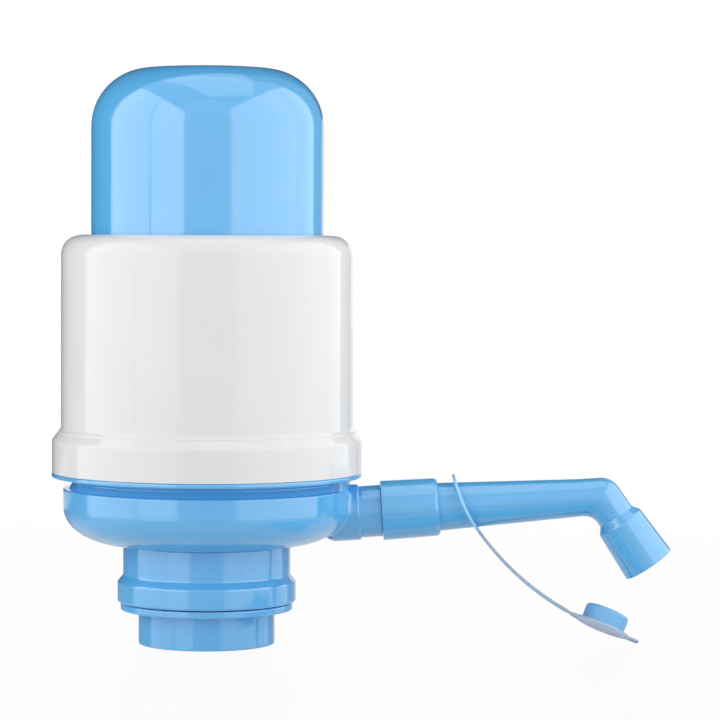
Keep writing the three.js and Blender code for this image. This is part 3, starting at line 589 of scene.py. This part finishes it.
def bowl_reach(z):
    """Radius of the bowl's outside at height z: the quarter ellipse, the wall, then the groove above it."""
    lift = np.clip((turn_top - z) / bowl_turn_rise, 0, 1)
    groove = rim_groove_depth * smooth((z - bowl_top) / groove_step + 0.5)
    return flat_radius + bowl_turn_run * np.sqrt(1 - lift ** 2) - groove


def meets_bowl(radius, angle):
    """Distance along the spout's axis where the line at this radius and angle meets the bowl, by halving."""
    near, far = np.full(angle.shape, search_start), np.full(angle.shape, search_end)
    up, side = radius * np.cos(angle), radius * np.sin(angle)
    for _ in range(halvings):
        middle = (near + far) / 2
        x = spout_origin[0] + middle * cos(spout_rise) - up * sin(spout_rise)
        z = spout_origin[2] + middle * sin(spout_rise) + up * cos(spout_rise)
        outside = np.hypot(x, side) > bowl_reach(z)
        near, far = np.where(outside, near, middle), np.where(outside, middle, far)
    return near


def boss_grid(sides=128, fillet_rows=8):
    """The boss, stub and spigot round the spout's axis. Column a is the half plane at that angle. In it the
    outline leaves the bowl's wall on a curve of Bezier form, whose handle is the corner of bowl and boss, and
    runs on as straight lines with rounded corners. Under the bowl, where the boss would graze it, the curve
    turns inwards instead, so that the boss ends rounded at its depth."""
    around = np.linspace(0, 2 * pi, sides, endpoint=False)
    corner = meets_bowl(boss_radius, around)
    spread = (meets_bowl(boss_radius + spread_step, around) - corner) / spread_step
    graze = smooth((-boss_depth - corner) / graze_run)
    corner = np.maximum(corner, -boss_depth)
    foot_radius = boss_radius + boss_fillet / np.sqrt(1 + spread ** 2) * (1 - graze) - boss_sink * graze
    foot = meets_bowl(foot_radius, around)
    t = np.linspace(0, 1, fillet_rows + 1)[:, None]
    curve_r = (1 - t) ** 2 * foot_radius + (1 - (1 - t) ** 2) * boss_radius
    curve_s = (1 - t) ** 2 * foot + 2 * t * (1 - t) * corner + t ** 2 * (corner + boss_fillet)
    groove_from = seal_middle - seal_width / 2
    groove_to = seal_middle + seal_width / 2
    groove_floor = spigot_radius - seal_depth
    ahead = rounded([
        (boss_radius, -boss_lead, 0), (boss_radius, 0, boss_edge), (stub_radius, 0, 0.1),
        (stub_radius, stub_length, 0.15), (spigot_radius, stub_length, 0.3), (spigot_radius, groove_from, 0),
        (groove_floor, groove_from, 0), (groove_floor, groove_to, 0), (spigot_radius, groove_to, 0),
        (spigot_radius, spigot_length, 0.6), (0, spigot_length, 0)])
    core_radius = boss_radius - core_inset
    core = np.minimum(meets_bowl(core_radius, around), -boss_depth) - core_depth
    zero = np.zeros(sides)
    r = np.concatenate([[zero, zero + core_radius, foot_radius - root_inset], curve_r, zero + ahead[:, :1]])
    s = np.concatenate([[zero + core.min(), core, foot - root_depth], curve_s, zero + ahead[:, 1:]])
    return rings(-r, s, around)


def pad_grid(steps=48):
    """The pad that fills the rim's groove over the boss: a ring's section carried round the pump's axis. Its
    outside is flush with the bowl and falls back into the groove at both ends, by a quarter circle."""
    reach = pad_half_angle + pad_end_angle
    around = np.linspace(-reach, reach, steps)
    past = np.clip((np.abs(around) - pad_half_angle) / pad_end_angle, 0, 1)
    outside = groove_root + (bowl_radius - groove_root) * np.sqrt(1 - past ** 2)
    inside = np.full(steps, groove_root - pad_inset)
    low = np.full(steps, bowl_top - pad_drop)
    high = np.full(steps, groove_top + lip_thickness / 2)
    r = np.stack([inside, outside, outside, inside], axis=1)
    z = np.stack([low, low, high, high], axis=1)
    r, z = (np.concatenate([part[:1].mean(1, keepdims=True).repeat(4, 1), part,
                            part[-1:].mean(1, keepdims=True).repeat(4, 1)]) for part in (r, z))
    turn = np.radians(np.concatenate([around[:1], around, around[-1:]]))[:, None]
    return rings(r, z, turn)[::-1]


outer_turn = ellipse_arc((flat_radius, turn_top), bowl_turn_run, bowl_turn_rise, -90, 0, steps=36)
inner_turn = ellipse_arc(
    (flat_radius, turn_top), bowl_turn_run - wall, bowl_turn_rise - bowl_floor, 0, -90, steps=20)
bowl_outline = np.concatenate([
    [(0, bowl_bottom), (neck_inner, bowl_bottom), (neck_inner, bowl_low[2]), (neck_outer, bowl_low[2]),
     (neck_outer, bead_middle - bead_height / 2), (neck_outer + bead_reach, bead_middle),
     (neck_outer, bead_middle + bead_height / 2), (neck_outer, bowl_bottom - crease_support),
     (neck_outer + crease_support, bowl_bottom)],
    outer_turn,
    rounded([(bowl_radius, turn_top + crease_support, 0), (bowl_radius, bowl_top, 0.5),
             (groove_radius, bowl_top, 0.4), (groove_root, groove_top - lip_slope, 0.6),
             (lip_radius, groove_top, 0.5), (lip_radius, lip_top, 0.7), (deck_radius, lip_top, 0.3),
             (deck_radius, bowl_high[2], 0.3),
             (deck_radius - spigot_wall, bowl_high[2], 0.3), (deck_radius - spigot_wall, lip_top, 0),
             (groove_root - wall, groove_top, 0), (groove_radius - wall, bowl_top - wall, 0)]),
    inner_turn, [(0, floor_top)]])
base_bowl = turned("bowl_with_boss_and_spigots", bowl_outline, closed=False)
boss = surface("boss_stub_and_spigot", boss_grid(), closed=False)
boss.data.transform(spout_place)
carve(base_bowl, boss, "UNION")
carve(base_bowl, surface("pad_over_boss", pad_grid(), closed=False), "UNION")
carve(base_bowl, bar("water_way", water_bore, water_way_start, spigot_length + 2 * overrun, spout_origin,
                     along_spout))
carve(base_bowl, bar("suction_hole", nipple_hole, bowl_bottom - overrun, floor_top + overrun))
for hole in range(air_holes):
    turn = 2 * pi * (hole + 0.5) / air_holes
    place = (air_hole_circle * cos(turn), air_hole_circle * sin(turn), 0)
    drill = bar("air_hole", air_hole_radius, bowl_bottom - overrun, floor_top + overrun, place, sides=32)
    carve(base_bowl, drill)
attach(dress(base_bowl, "blue_abs", blue_abs, "base_bowl"), "base")


# Bottle gasket. A flat ring of white silicone under the bowl's floor, which the bottle's rim presses on.
# It is moulded with two fine beads on its lower face, and lies loose inside the neck wall.
gasket_bore = 20.0
bead_rise = 0.7
bead_half = 0.9
bead_circles = (23.0, 26.6)


def soft_rubber(name, colour, bloom_colour):
    """Moulded silicone or rubber: a dull skin with a fine even grain, a pale bloom in faint clouds, and a
    little light that creeps in at thin edges."""
    material, tree = new_material(name)
    shader = add_node(tree, "ShaderNodeBsdfPrincipled", {
        "Base Color": clouded(tree, colour, bloom_colour, size=12, detail=4.0, low=0.4, high=0.75, most=0.6),
        "Roughness": 0.5, "IOR": 1.41, "Subsurface Weight": 0.2, "Subsurface Radius": (1.0, 1.0, 1.0),
        "Subsurface Scale": 1.0 * mm,
        "Normal": rippled(tree, size=0.4, detail=2.0, strength=0.5, depth=0.02)})
    add_node(tree, "ShaderNodeOutputMaterial", {"Surface": shader.outputs[0]})
    return material


white_silicone = soft_rubber("white_moulded_silicone", "#d8dada", "#e4e5e5")
gasket_low, gasket_high = span("bottle_gasket")
gasket_face = gasket_low[2] + bead_rise
beads = [ellipse_arc((circle, gasket_face), bead_half, bead_rise, 180, 360, steps=8)
         for circle in bead_circles]
bottle_gasket = turned("beaded_bottle_gasket", np.concatenate([
    [(gasket_bore, gasket_face)], *beads, [(gasket_high[0], gasket_face), (gasket_high[0], gasket_high[2]),
                                           (gasket_bore, gasket_high[2])]]), sides=128)
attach(dress(bottle_gasket, "seal_rubber", white_silicone, "bottle_gasket"), "base")


# Grip ring. A silicone band inside the neck wall over the sleeve, which hugs the bottle's neck.
# It is moulded with soft rounded ribs on its inside.
grip_bore = 28.1
grip_ribs = 5
grip_rib_depth = 0.6
fold_rows = 10

grip_low, grip_high = span("grip_ring")
rise = np.linspace(1, 0, grip_ribs * fold_rows + 1)
ribbed = grip_bore + grip_rib_depth * (1 - np.sin(pi * grip_ribs * rise) ** 2)
grip_ring = turned("ribbed_grip_ring", np.concatenate([
    np.stack([ribbed, grip_low[2] + (grip_high[2] - grip_low[2]) * rise], axis=1),
    [(grip_high[0], grip_low[2]), (grip_high[0], grip_high[2])]]))
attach(dress(grip_ring, "seal_rubber", white_silicone, "grip_ring"), "base")


# Suction nipple. The white tube under the bowl's floor that takes the dip tube, with two barbs to hold it.
# It is moulded in natural polypropylene, and its neck goes up through the floor into the water elbow.
nipple_bore = 4.6
nipple_outer = 6.6
nipple_neck = 6.0
barb_depth = 0.7
barb_pitch = 4.0
barb_crest_share = 0.75
barb_count = 2
nipple_flange = 2.0
seat_gap = 0.3


def natural_plastic(name, colour, cloud_colour):
    """Injection moulded polypropylene without dye: milky, waxy and a little dull, with faint flow clouds and
    the fine orange peel of the mould, and light creeps into its thin walls."""
    material, tree = new_material(name)
    shader = add_node(tree, "ShaderNodeBsdfPrincipled", {
        "Base Color": clouded(tree, colour, cloud_colour, size=14, detail=3.0),
        "Roughness": 0.36, "IOR": 1.49, "Subsurface Weight": 0.25, "Subsurface Radius": (1.0, 1.0, 1.0),
        "Subsurface Scale": 1.2 * mm,
        "Normal": rippled(tree, size=0.9, detail=2.0, strength=0.5, depth=0.015)})
    add_node(tree, "ShaderNodeOutputMaterial", {"Surface": shader.outputs[0]})
    return material


natural_polypropylene = natural_plastic("natural_moulded_polypropylene", "#e3e5e2", "#dcdfdd")
nipple_low, nipple_high = span("suction_nipple")
flange_over = span("nipple_seal")[0][2] - seat_gap
flange_under = flange_over - nipple_flange
barb_root = nipple_outer - barb_depth
barbs = []
for barb in range(barb_count):
    low = nipple_low[2] + barb * barb_pitch
    barbs.append((barb_root, low, 0.15))
    barbs.append((nipple_outer, low + barb_crest_share * barb_pitch, 0.15))
suction_nipple = turned("barbed_suction_nipple", rounded([
    (nipple_bore, nipple_low[2], 0.15), *barbs,
    (barb_root, nipple_low[2] + barb_count * barb_pitch, 0.2), (barb_root, flange_under, 0.8),
    (nipple_high[0], flange_under, 0.4), (nipple_high[0], flange_over, 0.3), (nipple_neck, flange_over, 0.2),
    (nipple_neck, nipple_high[2], 0.3), (nipple_bore, nipple_high[2], 0.3)]), sides=96)
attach(dress(suction_nipple, "inner_plastic", natural_polypropylene, "suction_nipple"), "base")


# Inner pieces. The deck over the bowl, the bellows' clamp ring and top plate and the water elbow are moulded
# in natural polypropylene, the seals and both valves in silicone. They keep the shape that the frame gives.
inner_pieces = (
    (natural_polypropylene, ("air_deck", "bellows_clamp_ring", "bellows_top_plate", "water_elbow")),
    (white_silicone, (
        "deck_gasket", "nipple_seal", "elbow_seal", "spout_seal", "intake_valve", "outlet_valve")))
for material, names in inner_pieces:
    for name in names:
        frame["nodes"][name].material_slots[0].material = material


# Casing. The tall white shell with a wider skirt and a round shoulder; it snaps over the bowl's spigot.
# It is moulded in white ABS from a polished mould, and a tube inside its top guides the dome.
casing_wall = 2.4
casing_radius = 62.0
skirt_height = 13.6
slope_height = 5.1
shoulder_radius = 8.5
guide_radius = 50.1
guide_height = 22.9
skirt_step_rise = 0.3
skirt_step_inset = 0.6
foot_gap = 0.05

white_abs = gloss_abs("white_moulded_abs", "#e4e5e6", "#e2e3e4", 0.08, 0.25)
casing_low, casing_high = span("casing")
skirt_radius = casing_high[0]
casing_foot = lip_top + foot_gap
casing_top = casing_high[2]
ceiling = casing_top - casing_wall
guide_foot = casing_top - guide_height
skirt_top = casing_low[2] + skirt_height
slope_top = skirt_top + slope_height
inner_radius = casing_radius - casing_wall
skirt_step = span("air_deck")[1][2] + skirt_step_rise
casing = turned("casing_shell", rounded([
    (skirt_radius - casing_wall, casing_foot, 0.2), (skirt_radius, casing_foot, 0.2),
    (skirt_radius, skirt_top, 2.6), (casing_radius, slope_top, 1.8),
    (casing_radius, casing_top, shoulder_radius), (guide_radius, casing_top, 0.7),
    (guide_radius, guide_foot, 0.3), (guide_radius + wall, guide_foot, 0.3),
    (guide_radius + wall, ceiling, 0.5), (inner_radius, ceiling, shoulder_radius - casing_wall),
    (inner_radius, slope_top, 0.5), (inner_radius + skirt_step_inset, skirt_step, 0),
    (skirt_radius - casing_wall, skirt_step, 0)], turns=12))
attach(dress(casing, "white_abs", white_abs, "casing"), "base")


# Press dome. The big blue cap that the hand pushes down, with a stop flange under the casing's guide tube.
# It is moulded in blue ABS, a little crowned on top, and slides in the guide with 0.75 mm of play all round.
dome_radius = 49.35
dome_turn_run = 25.0
dome_turn_height = 24.9
dome_crown = 0.5
dome_top_inset = 0.9
dome_flange = 2.4
dome_turn_lead = 1

dome_low, dome_high = span("press_dome")
crown_radius = dome_radius - dome_turn_run
crown_foot = dome_high[2] - dome_top_inset - dome_crown
turn_z = crown_foot - dome_turn_height
press_dome = turned("press_dome_shell", np.concatenate([
    [(0, crown_foot - wall)],
    ellipse_arc((crown_radius, turn_z), dome_turn_run - wall, dome_turn_height - wall, 90, 0, steps=24),
    rounded([(dome_radius - wall, turn_z - dome_turn_lead, 0), (dome_radius - wall, dome_low[2], 0.3),
             (dome_high[0], dome_low[2], 0.5), (dome_high[0], dome_low[2] + dome_flange, 0.5),
             (dome_radius, dome_low[2] + dome_flange, 0.4), (dome_radius, turn_z - dome_turn_lead, 0)]),
    ellipse_arc((crown_radius, turn_z), dome_turn_run, dome_turn_height, 0, 90, steps=48),
    ellipse_arc((0, crown_foot), crown_radius, dome_crown, 0, 90, steps=12)[1:]]), closed=False)
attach(dress(press_dome, "blue_abs", blue_abs, "press_dome"), "plunger")


# Bellows. A folded tube of soft grey rubber between the deck and the plate under the dome, to pump the air.
# It is dip moulded, with thin rounded folds, and its foot is held down by the clamp ring.
bellows_wall = 1.0
bellows_folds = 8
bellows_depth = 6.0
bellows_flange = 1.2
fold_overhang = 0.5

bellows_rubber = soft_rubber("grey_white_moulded_rubber", "#ccd1d4", "#dfe2e3")
bellows_low, bellows_high = span("bellows")
plate_radius = span("bellows_top_plate")[1][0]
fold_radius = plate_radius + fold_overhang
fold_start = bellows_low[2] + bellows_flange
fold_end = bellows_high[2] - bellows_flange
rise = np.linspace(0, 1, bellows_folds * fold_rows + 1)
wave = fold_radius - bellows_depth / 2 * (1 + np.cos(2 * pi * bellows_folds * rise))
height = fold_start + (fold_end - fold_start) * rise
valley = fold_radius - bellows_depth
bellows = turned("folded_bellows", np.concatenate([
    [(valley - bellows_wall, bellows_low[2]), (bellows_high[0], bellows_low[2]),
     (bellows_high[0], fold_start)],
    np.stack([wave, height], axis=1),
    [(plate_radius, fold_end), (plate_radius, bellows_high[2]), (valley - bellows_wall, bellows_high[2])],
    np.stack([wave - bellows_wall, height], axis=1)[::-1]]), sides=96)
dress(bellows, "bellows_rubber", bellows_rubber, "bellows")
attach(bellows, "base")
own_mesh(bellows)


# Spout coupling. A blue sleeve that turns on the base's spigot at one end and takes the pipe at the other.
# It is moulded in ABS with square edges at the base's end and a well rounded edge round the pipe.
coupling_radius = 12.7
far_radius = 12.3
coupling_start = 9.3
coupling_length = 24.5
coupling_bore = 9.9
web_start = 27.6
web_end = 29.2
web_bore = 7.4
socket_radius = 10.19
far_edge = 2.0

coupling_end = coupling_start + coupling_length
spout_coupling = turned("coupling_sleeve", rounded([
    (coupling_bore, coupling_start, 0.1), (coupling_radius, coupling_start, 0.35),
    (far_radius, coupling_end, far_edge), (socket_radius, coupling_end, 0.1), (socket_radius, web_end, 0),
    (web_bore, web_end, 0), (web_bore, web_start, 0), (coupling_bore, web_start, 0)]), sides=128)
spout_coupling.data.transform(spout_place)
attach(dress(spout_coupling, "blue_abs", blue_abs, "spout_coupling"), "spout")


# Spout pipe. A tapered blue pipe that bends down into a wider nozzle, pressed into the coupling.
# It is one ABS moulding: the bend's inside is smooth, and a soft shoulder leads over to the nozzle.
pipe_root = 29.5
pipe_root_radius = 10.04
pipe_start = 34.1
pipe_radius = 10.24
pipe_end_radius = 8.0
pipe_bore = 8.04
pipe_end_bore = 6.0
bend_place = 103.5
bend_angle = radians(59.3)
bend_outer_round = 5.5
bend_inner_round = 4.2
bend_rows = 25
bend_lead = 0.8
shoulder_start = 113.9
nozzle_start = 116.9
nozzle_radius = 10.3
nozzle_end = 138.8
nozzle_mouth_radius = 11.35
nozzle_bore = 9.6
nozzle_depth = 12.0


def carried(name, outline, sides=128):
    """A tube along the spout's two lines, which meet at the bend's place. Outline point (r, s) at angle a
    lies s along the lines, r cos a along their normal and r sin a to the side. Rows with s between -1 and 1
    are in the bend: there each long line turns on a curve of Bezier form, whose handle is where it would meet
    its other half, and whose reach goes evenly from the bend's outside to its inside."""
    angle = np.linspace(0, 2 * pi, sides, endpoint=False)[:, None]
    side = np.array([0.0, 1.0, 0.0])
    headings = (spout_rise, spout_rise - bend_angle)
    ahead = [np.array([cos(heading), 0, sin(heading)]) for heading in headings]
    normal = [np.array([sin(heading), 0, -cos(heading)]) for heading in headings]
    bend = spout_origin + ahead[0] * bend_place
    rows = []
    for r, s in outline:
        if abs(s) > 1:
            half = 0 if s < bend_place else 1
            ring = r * (np.cos(angle) * normal[half] + np.sin(angle) * side)
            rows.append(bend + ahead[half] * (s - bend_place) + ring)
            continue
        inside = (1 + np.cos(angle)) / 2
        run = bend_outer_round + (bend_inner_round - bend_outer_round) * inside
        lean = r * np.cos(angle) * tan(bend_angle / 2)
        corner = bend + r * (np.cos(angle) * normal[0] + np.sin(angle) * side) - lean * ahead[0]
        t = (1 + s) / 2
        rows.append(corner - ahead[0] * run * (1 - t) ** 2 + ahead[1] * run * t ** 2)
    return surface(name, np.array(rows))


bend_room = pipe_end_radius * tan(bend_angle / 2) + bend_inner_round + bend_lead
stations = np.linspace(-1, 1, bend_rows)
spout_pipe = carried("spout_pipe_and_nozzle", np.concatenate([
    rounded([(pipe_bore, pipe_root, 0.3), (pipe_root_radius, pipe_root, 0.5), (pipe_radius, pipe_start, 0)]),
    [(pipe_end_radius, bend_place - bend_room)],
    np.stack([np.full(bend_rows, pipe_end_radius), stations], axis=1),
    rounded([(pipe_end_radius, bend_place + bend_room, 0), (pipe_end_radius, shoulder_start, 1.6),
             (nozzle_radius, nozzle_start, 1.4), (nozzle_mouth_radius, nozzle_end, 0.45),
             (nozzle_bore, nozzle_end, 0.3), (nozzle_bore, nozzle_end - nozzle_depth, 0.3),
             (pipe_end_bore, nozzle_end - nozzle_depth, 0.5), (pipe_end_bore, bend_place + bend_room, 0)],
            turns=8),
    np.stack([np.full(bend_rows, pipe_end_bore), stations[::-1]], axis=1),
    [(pipe_end_bore, bend_place - bend_room)]]))
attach(dress(spout_pipe, "blue_abs", blue_abs, "spout_pipe"), "spout")


# Tether. One soft moulding of blue polythene, pale where it is thin: a ring that hangs on the pipe, a strap,
# and the cap that plugs the nozzle. It is two pieces that meet in the middle of the strap, because each bends
# at one joint.
tether_thickness = 1.15
tether_edge = 0.28
ring_bore = 11.4
ring_radius = 14.0
ring_bend = 72.0
strap_width = 7.0
strap_length = 53.9
strap_bend = 118.0
arm_fillet = 0.8
edge_turns = (30, 60, 90)
cap_radius = 11.95
cap_root = 0.7
cap_turn = radians(4.6)
cap_roll = radians(13.0)
roll_run = 5.0
plug_radius = 9.5
plug_height = 6.9
plug_wall = 1.5
plug_edge = 1.3
plug_foot = 0.5
face_start = 2.0
tab_length = 4.8
tab_width = 5.0
painted_light_fade = 3.0
line_stations = 1500
tangent_from = 0.7
tangent_to = 0.999
tangent_steps = 400
arm_end_points = 6
arc_points = 60

ring_centre = np.array(joints["tether_turn"]["pos_m"]) / mm
ring_normal = np.array(joints["tether_turn"]["axis"])
ring_lean = atan2(ring_normal[2], ring_normal[0])
strap_end = ring_radius + strap_length
strap_half = strap_length / 2
cap_middle = strap_end + cap_root + cap_radius
tether_half = tether_thickness / 2


def strap_line(l, h, y):
    """Place of the tether's point that lies l ahead of the ring's centre, h over the middle face and y to the
    side while it is flat. The lean from straight down grows by l / bend radius along ring and strap, and the
    place is the sum of the small steps (sin lean, -cos lean), plus h along the normal (cos lean, sin lean).
    Towards the cap the tether is rolled about its own line, by a smooth step."""
    stations = np.linspace(-ring_radius, cap_middle + cap_radius + tab_length, line_stations)
    step = stations[1] - stations[0]
    lean = (ring_lean + np.minimum(stations, ring_radius) / ring_bend
            + np.clip(stations - ring_radius, 0, strap_length) / strap_bend
            + cap_turn * np.clip((stations - strap_end + cap_root) / (2 * cap_root), 0, 1))
    x = np.cumsum(np.sin(lean)) * step
    z = np.cumsum(-np.cos(lean)) * step
    x += ring_centre[0] - np.interp(0, stations, x)
    z += ring_centre[2] - np.interp(0, stations, z)
    roll = cap_roll * smooth((l - strap_end + roll_run) / (roll_run + cap_root))
    over = h * np.cos(roll) - y * np.sin(roll)
    here = np.interp(l, stations, lean)
    return np.stack([np.interp(l, stations, x) + over * np.cos(here), y * np.cos(roll) + h * np.sin(roll),
                     np.interp(l, stations, z) + over * np.sin(here)], axis=-1)


def arm_edge(radius, reach, half_width, rounded_end, inset, steps=24):
    """Edge of a flat arm, from the middle of its end to the disc that carries it, as points (x, y). The half
    width grows towards the disc as an exponential that meets the disc's circle at a tangent."""
    near = np.linspace(radius * tangent_from, radius * tangent_to, tangent_steps)
    circle = np.sqrt(radius ** 2 - near ** 2)
    joint = np.interp(-arm_fillet, -(circle - half_width) * circle / near, near)
    joint_half = sqrt(radius ** 2 - joint ** 2)
    end = reach - inset if rounded_end else reach
    x = end + (joint - end) * (1 - (1 - np.linspace(0, 1, steps)) ** 2)
    y = half_width + (joint_half - half_width) * np.exp(-(x - joint) / arm_fillet) - inset
    across = np.linspace((end, 0), (end, y[0]), arm_end_points, endpoint=False)
    return np.concatenate([across, np.stack([x, y], axis=1)])


def leaf_edge(radius, ahead, behind, inset):
    """Closed edge of a disc with an arm ahead and maybe one behind, as points (x, y) drawn in by the inset.
    It starts at the middle of the arm ahead and runs round by +y. An arm is (reach, half width, rounded)."""
    first = arm_edge(radius, *ahead, inset)
    last = arm_edge(radius, *behind, inset)[::-1] * (-1, 1) if behind else np.array([(inset - radius, 0.0)])
    turn = np.linspace(atan2(first[-1, 1], first[-1, 0]), atan2(last[0, 1], last[0, 0]),
                       arc_points + 2)[1:-1]
    arc = rings(radius - inset, 0, turn)[:, :2]
    half = np.concatenate([first, arc, last])
    return np.concatenate([half, half[1:-1][::-1] * (1, -1)])


def leaf_face(radius, ahead, behind, start_radius, rows=36):
    """Upper half of a leaf's section: rows of points (x, y, h) from the circle at start_radius straight out
    to the edge, and over its quarter round down to the middle height."""
    inner = leaf_edge(radius, ahead, behind, tether_edge)
    angle = np.arctan2(inner[:, 1], inner[:, 0])
    start = rings(start_radius, 0, angle)[:, :2]
    flat = start + (inner - start) * np.linspace(0, 1, rows)[:, None, None]
    face = [np.insert(row, 2, tether_half, axis=1) for row in flat]
    for turn in np.radians(edge_turns):
        edge = leaf_edge(radius, ahead, behind, tether_edge * (1 - sin(turn)))
        height = tether_half - tether_edge * (1 - cos(turn))
        face.append(np.insert(edge, 2, height, axis=1))
    return np.array(face), angle


def polythene(name, colour, deep_colour, painted_light_colour):
    """Injection moulded low density polythene: soft, waxy and a little milky, so that light creeps into it.
    The sheen is dull, with fine ripples from the mould, and the colour deepens in broad faint clouds. Where
    the piece's painted light attribute is high, the colour is painted light instead: a painted colour that
    stands in for light through the cap's thin disc and for the pipe's blue seen through the ring."""
    material, tree = new_material(name)
    through = add_node(tree, "ShaderNodeAttribute", attribute_name="painted_light").outputs["Fac"]
    tint = clouded(tree, colour, deep_colour, size=9, detail=3.0)
    shade = add_node(tree, "ShaderNodeMix", {"Factor": through, "A": tint, "B": linear(painted_light_colour)},
                     data_type="RGBA")
    shader = add_node(tree, "ShaderNodeBsdfPrincipled", {
        "Base Color": shade.outputs["Result"], "Roughness": 0.42, "IOR": 1.51, "Specular IOR Level": 0.3,
        "Subsurface Weight": 0.05, "Subsurface Radius": (0.6, 0.8, 1.0), "Subsurface Scale": 1.5 * mm,
        "Normal": rippled(tree, size=1.5, detail=2.0, strength=0.6, depth=0.01)})
    add_node(tree, "ShaderNodeOutputMaterial", {"Surface": shader.outputs[0]})
    return material


# Each one's last colour is painted light: on the cap, light from above through the disc; on the ring, the
# pipe's blue seen through it and reflected in it. The plug's equals its own colour, so it paints nothing.
pale_polythene = polythene("pale_blue_polythene", "#a2bbd0", "#9db7ce", "#cfe0ff")
ring_polythene = polythene("pale_blue_polythene_of_the_ring", "#a2bbd0", "#9db7ce", "#a0dcfc")
deep_polythene = polythene("blue_polythene_of_the_plug", "#7ebdeb", "#78b8e7", "#7ebdeb")

ring_arm = (ring_radius + strap_half, strap_width / 2, False)
upper, angle = leaf_face(ring_radius, ring_arm, None, ring_bore + tether_edge)
quarter = np.radians((0, *edge_turns[:-1]))[:, None]
bore = rings(ring_bore + tether_edge * (1 - np.cos(quarter)),
             tether_half - tether_edge * (1 - np.sin(quarter)), angle)
upper = np.concatenate([bore, upper])
flat = np.concatenate([upper * (1, 1, -1), upper[::-1]])
tether_ring = surface("tether_ring_and_strap", strap_line(flat[..., 0], flat[..., 2], flat[..., 1]))
dress(tether_ring, "tether_polythene", ring_polythene, "tether_ring", "tether_strap")
# Painted light on the ring: the pipe's blue, as if seen through the ring and reflected in it, fading out
# along the strap.
through = np.clip((ring_radius - np.abs(flat[..., 0])) / painted_light_fade, 0, 1)
tether_ring.data.attributes.new("painted_light", "FLOAT", "POINT").data.foreach_set("value", through.ravel())
strap_line(13.0, 0, 0) * mm
strap_line(24.0, 0, 0) * mm
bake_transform(tether_ring)

cap_back = (cap_radius + cap_root + strap_half, strap_width / 2, False)
cap_tab = (cap_radius + tab_length, tab_width / 2, True)
under, angle = leaf_face(cap_radius, cap_tab, cap_back, face_start, rows=44)
over, angle = leaf_face(cap_radius, cap_tab, cap_back, plug_radius + plug_foot)
plug_top = tether_half + plug_height
plug_outline = rounded([
    (plug_radius + plug_foot, tether_half, 0), (plug_radius, tether_half, 0.45),
    (plug_radius, plug_top, plug_edge), (plug_radius - plug_wall, plug_top, 0.15),
    (plug_radius - plug_wall, tether_half, 0.5), (0, tether_half, 0)])[1:]
plug = rings(plug_outline[:, :1], plug_outline[:, 1:], angle)
centre = rings(0, -tether_half, angle)[None]
flat = np.concatenate([centre, under * (1, 1, -1), over[::-1], plug])
dust_cap = surface("dust_cap_and_strap", strap_line(cap_middle + flat[..., 0], flat[..., 2], flat[..., 1]),
                   closed=False)
dress(dust_cap, "tether_polythene", pale_polythene, "dust_cap")
dust_cap.data.materials.append(deep_polythene)
finish = np.zeros(len(dust_cap.data.polygons), np.int32)
finish[(len(under) + len(over)) * len(angle):-2 * len(angle)] = 1
finish[-len(angle):] = 1
dust_cap.data.polygons.foreach_set("material_index", finish)
# Painted light on the cap: the disc's lower face is painted lighter towards its middle, as if light from
# above came through it; the face over it and the plug get none.
from_middle = np.hypot(under[..., 0], under[..., 1]).ravel()
through = np.zeros(len(dust_cap.data.vertices))
through[0] = 1
through[1:1 + len(from_middle)] = np.clip((cap_radius + painted_light_fade / 2 - from_middle) / painted_light_fade, 0, 1)
dust_cap.data.attributes.new("painted_light", "FLOAT", "POINT").data.foreach_set("value", through)
strap_line(59.0, 0, 0) * mm
strap_line(70.0, 0, 0) * mm
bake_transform(dust_cap)
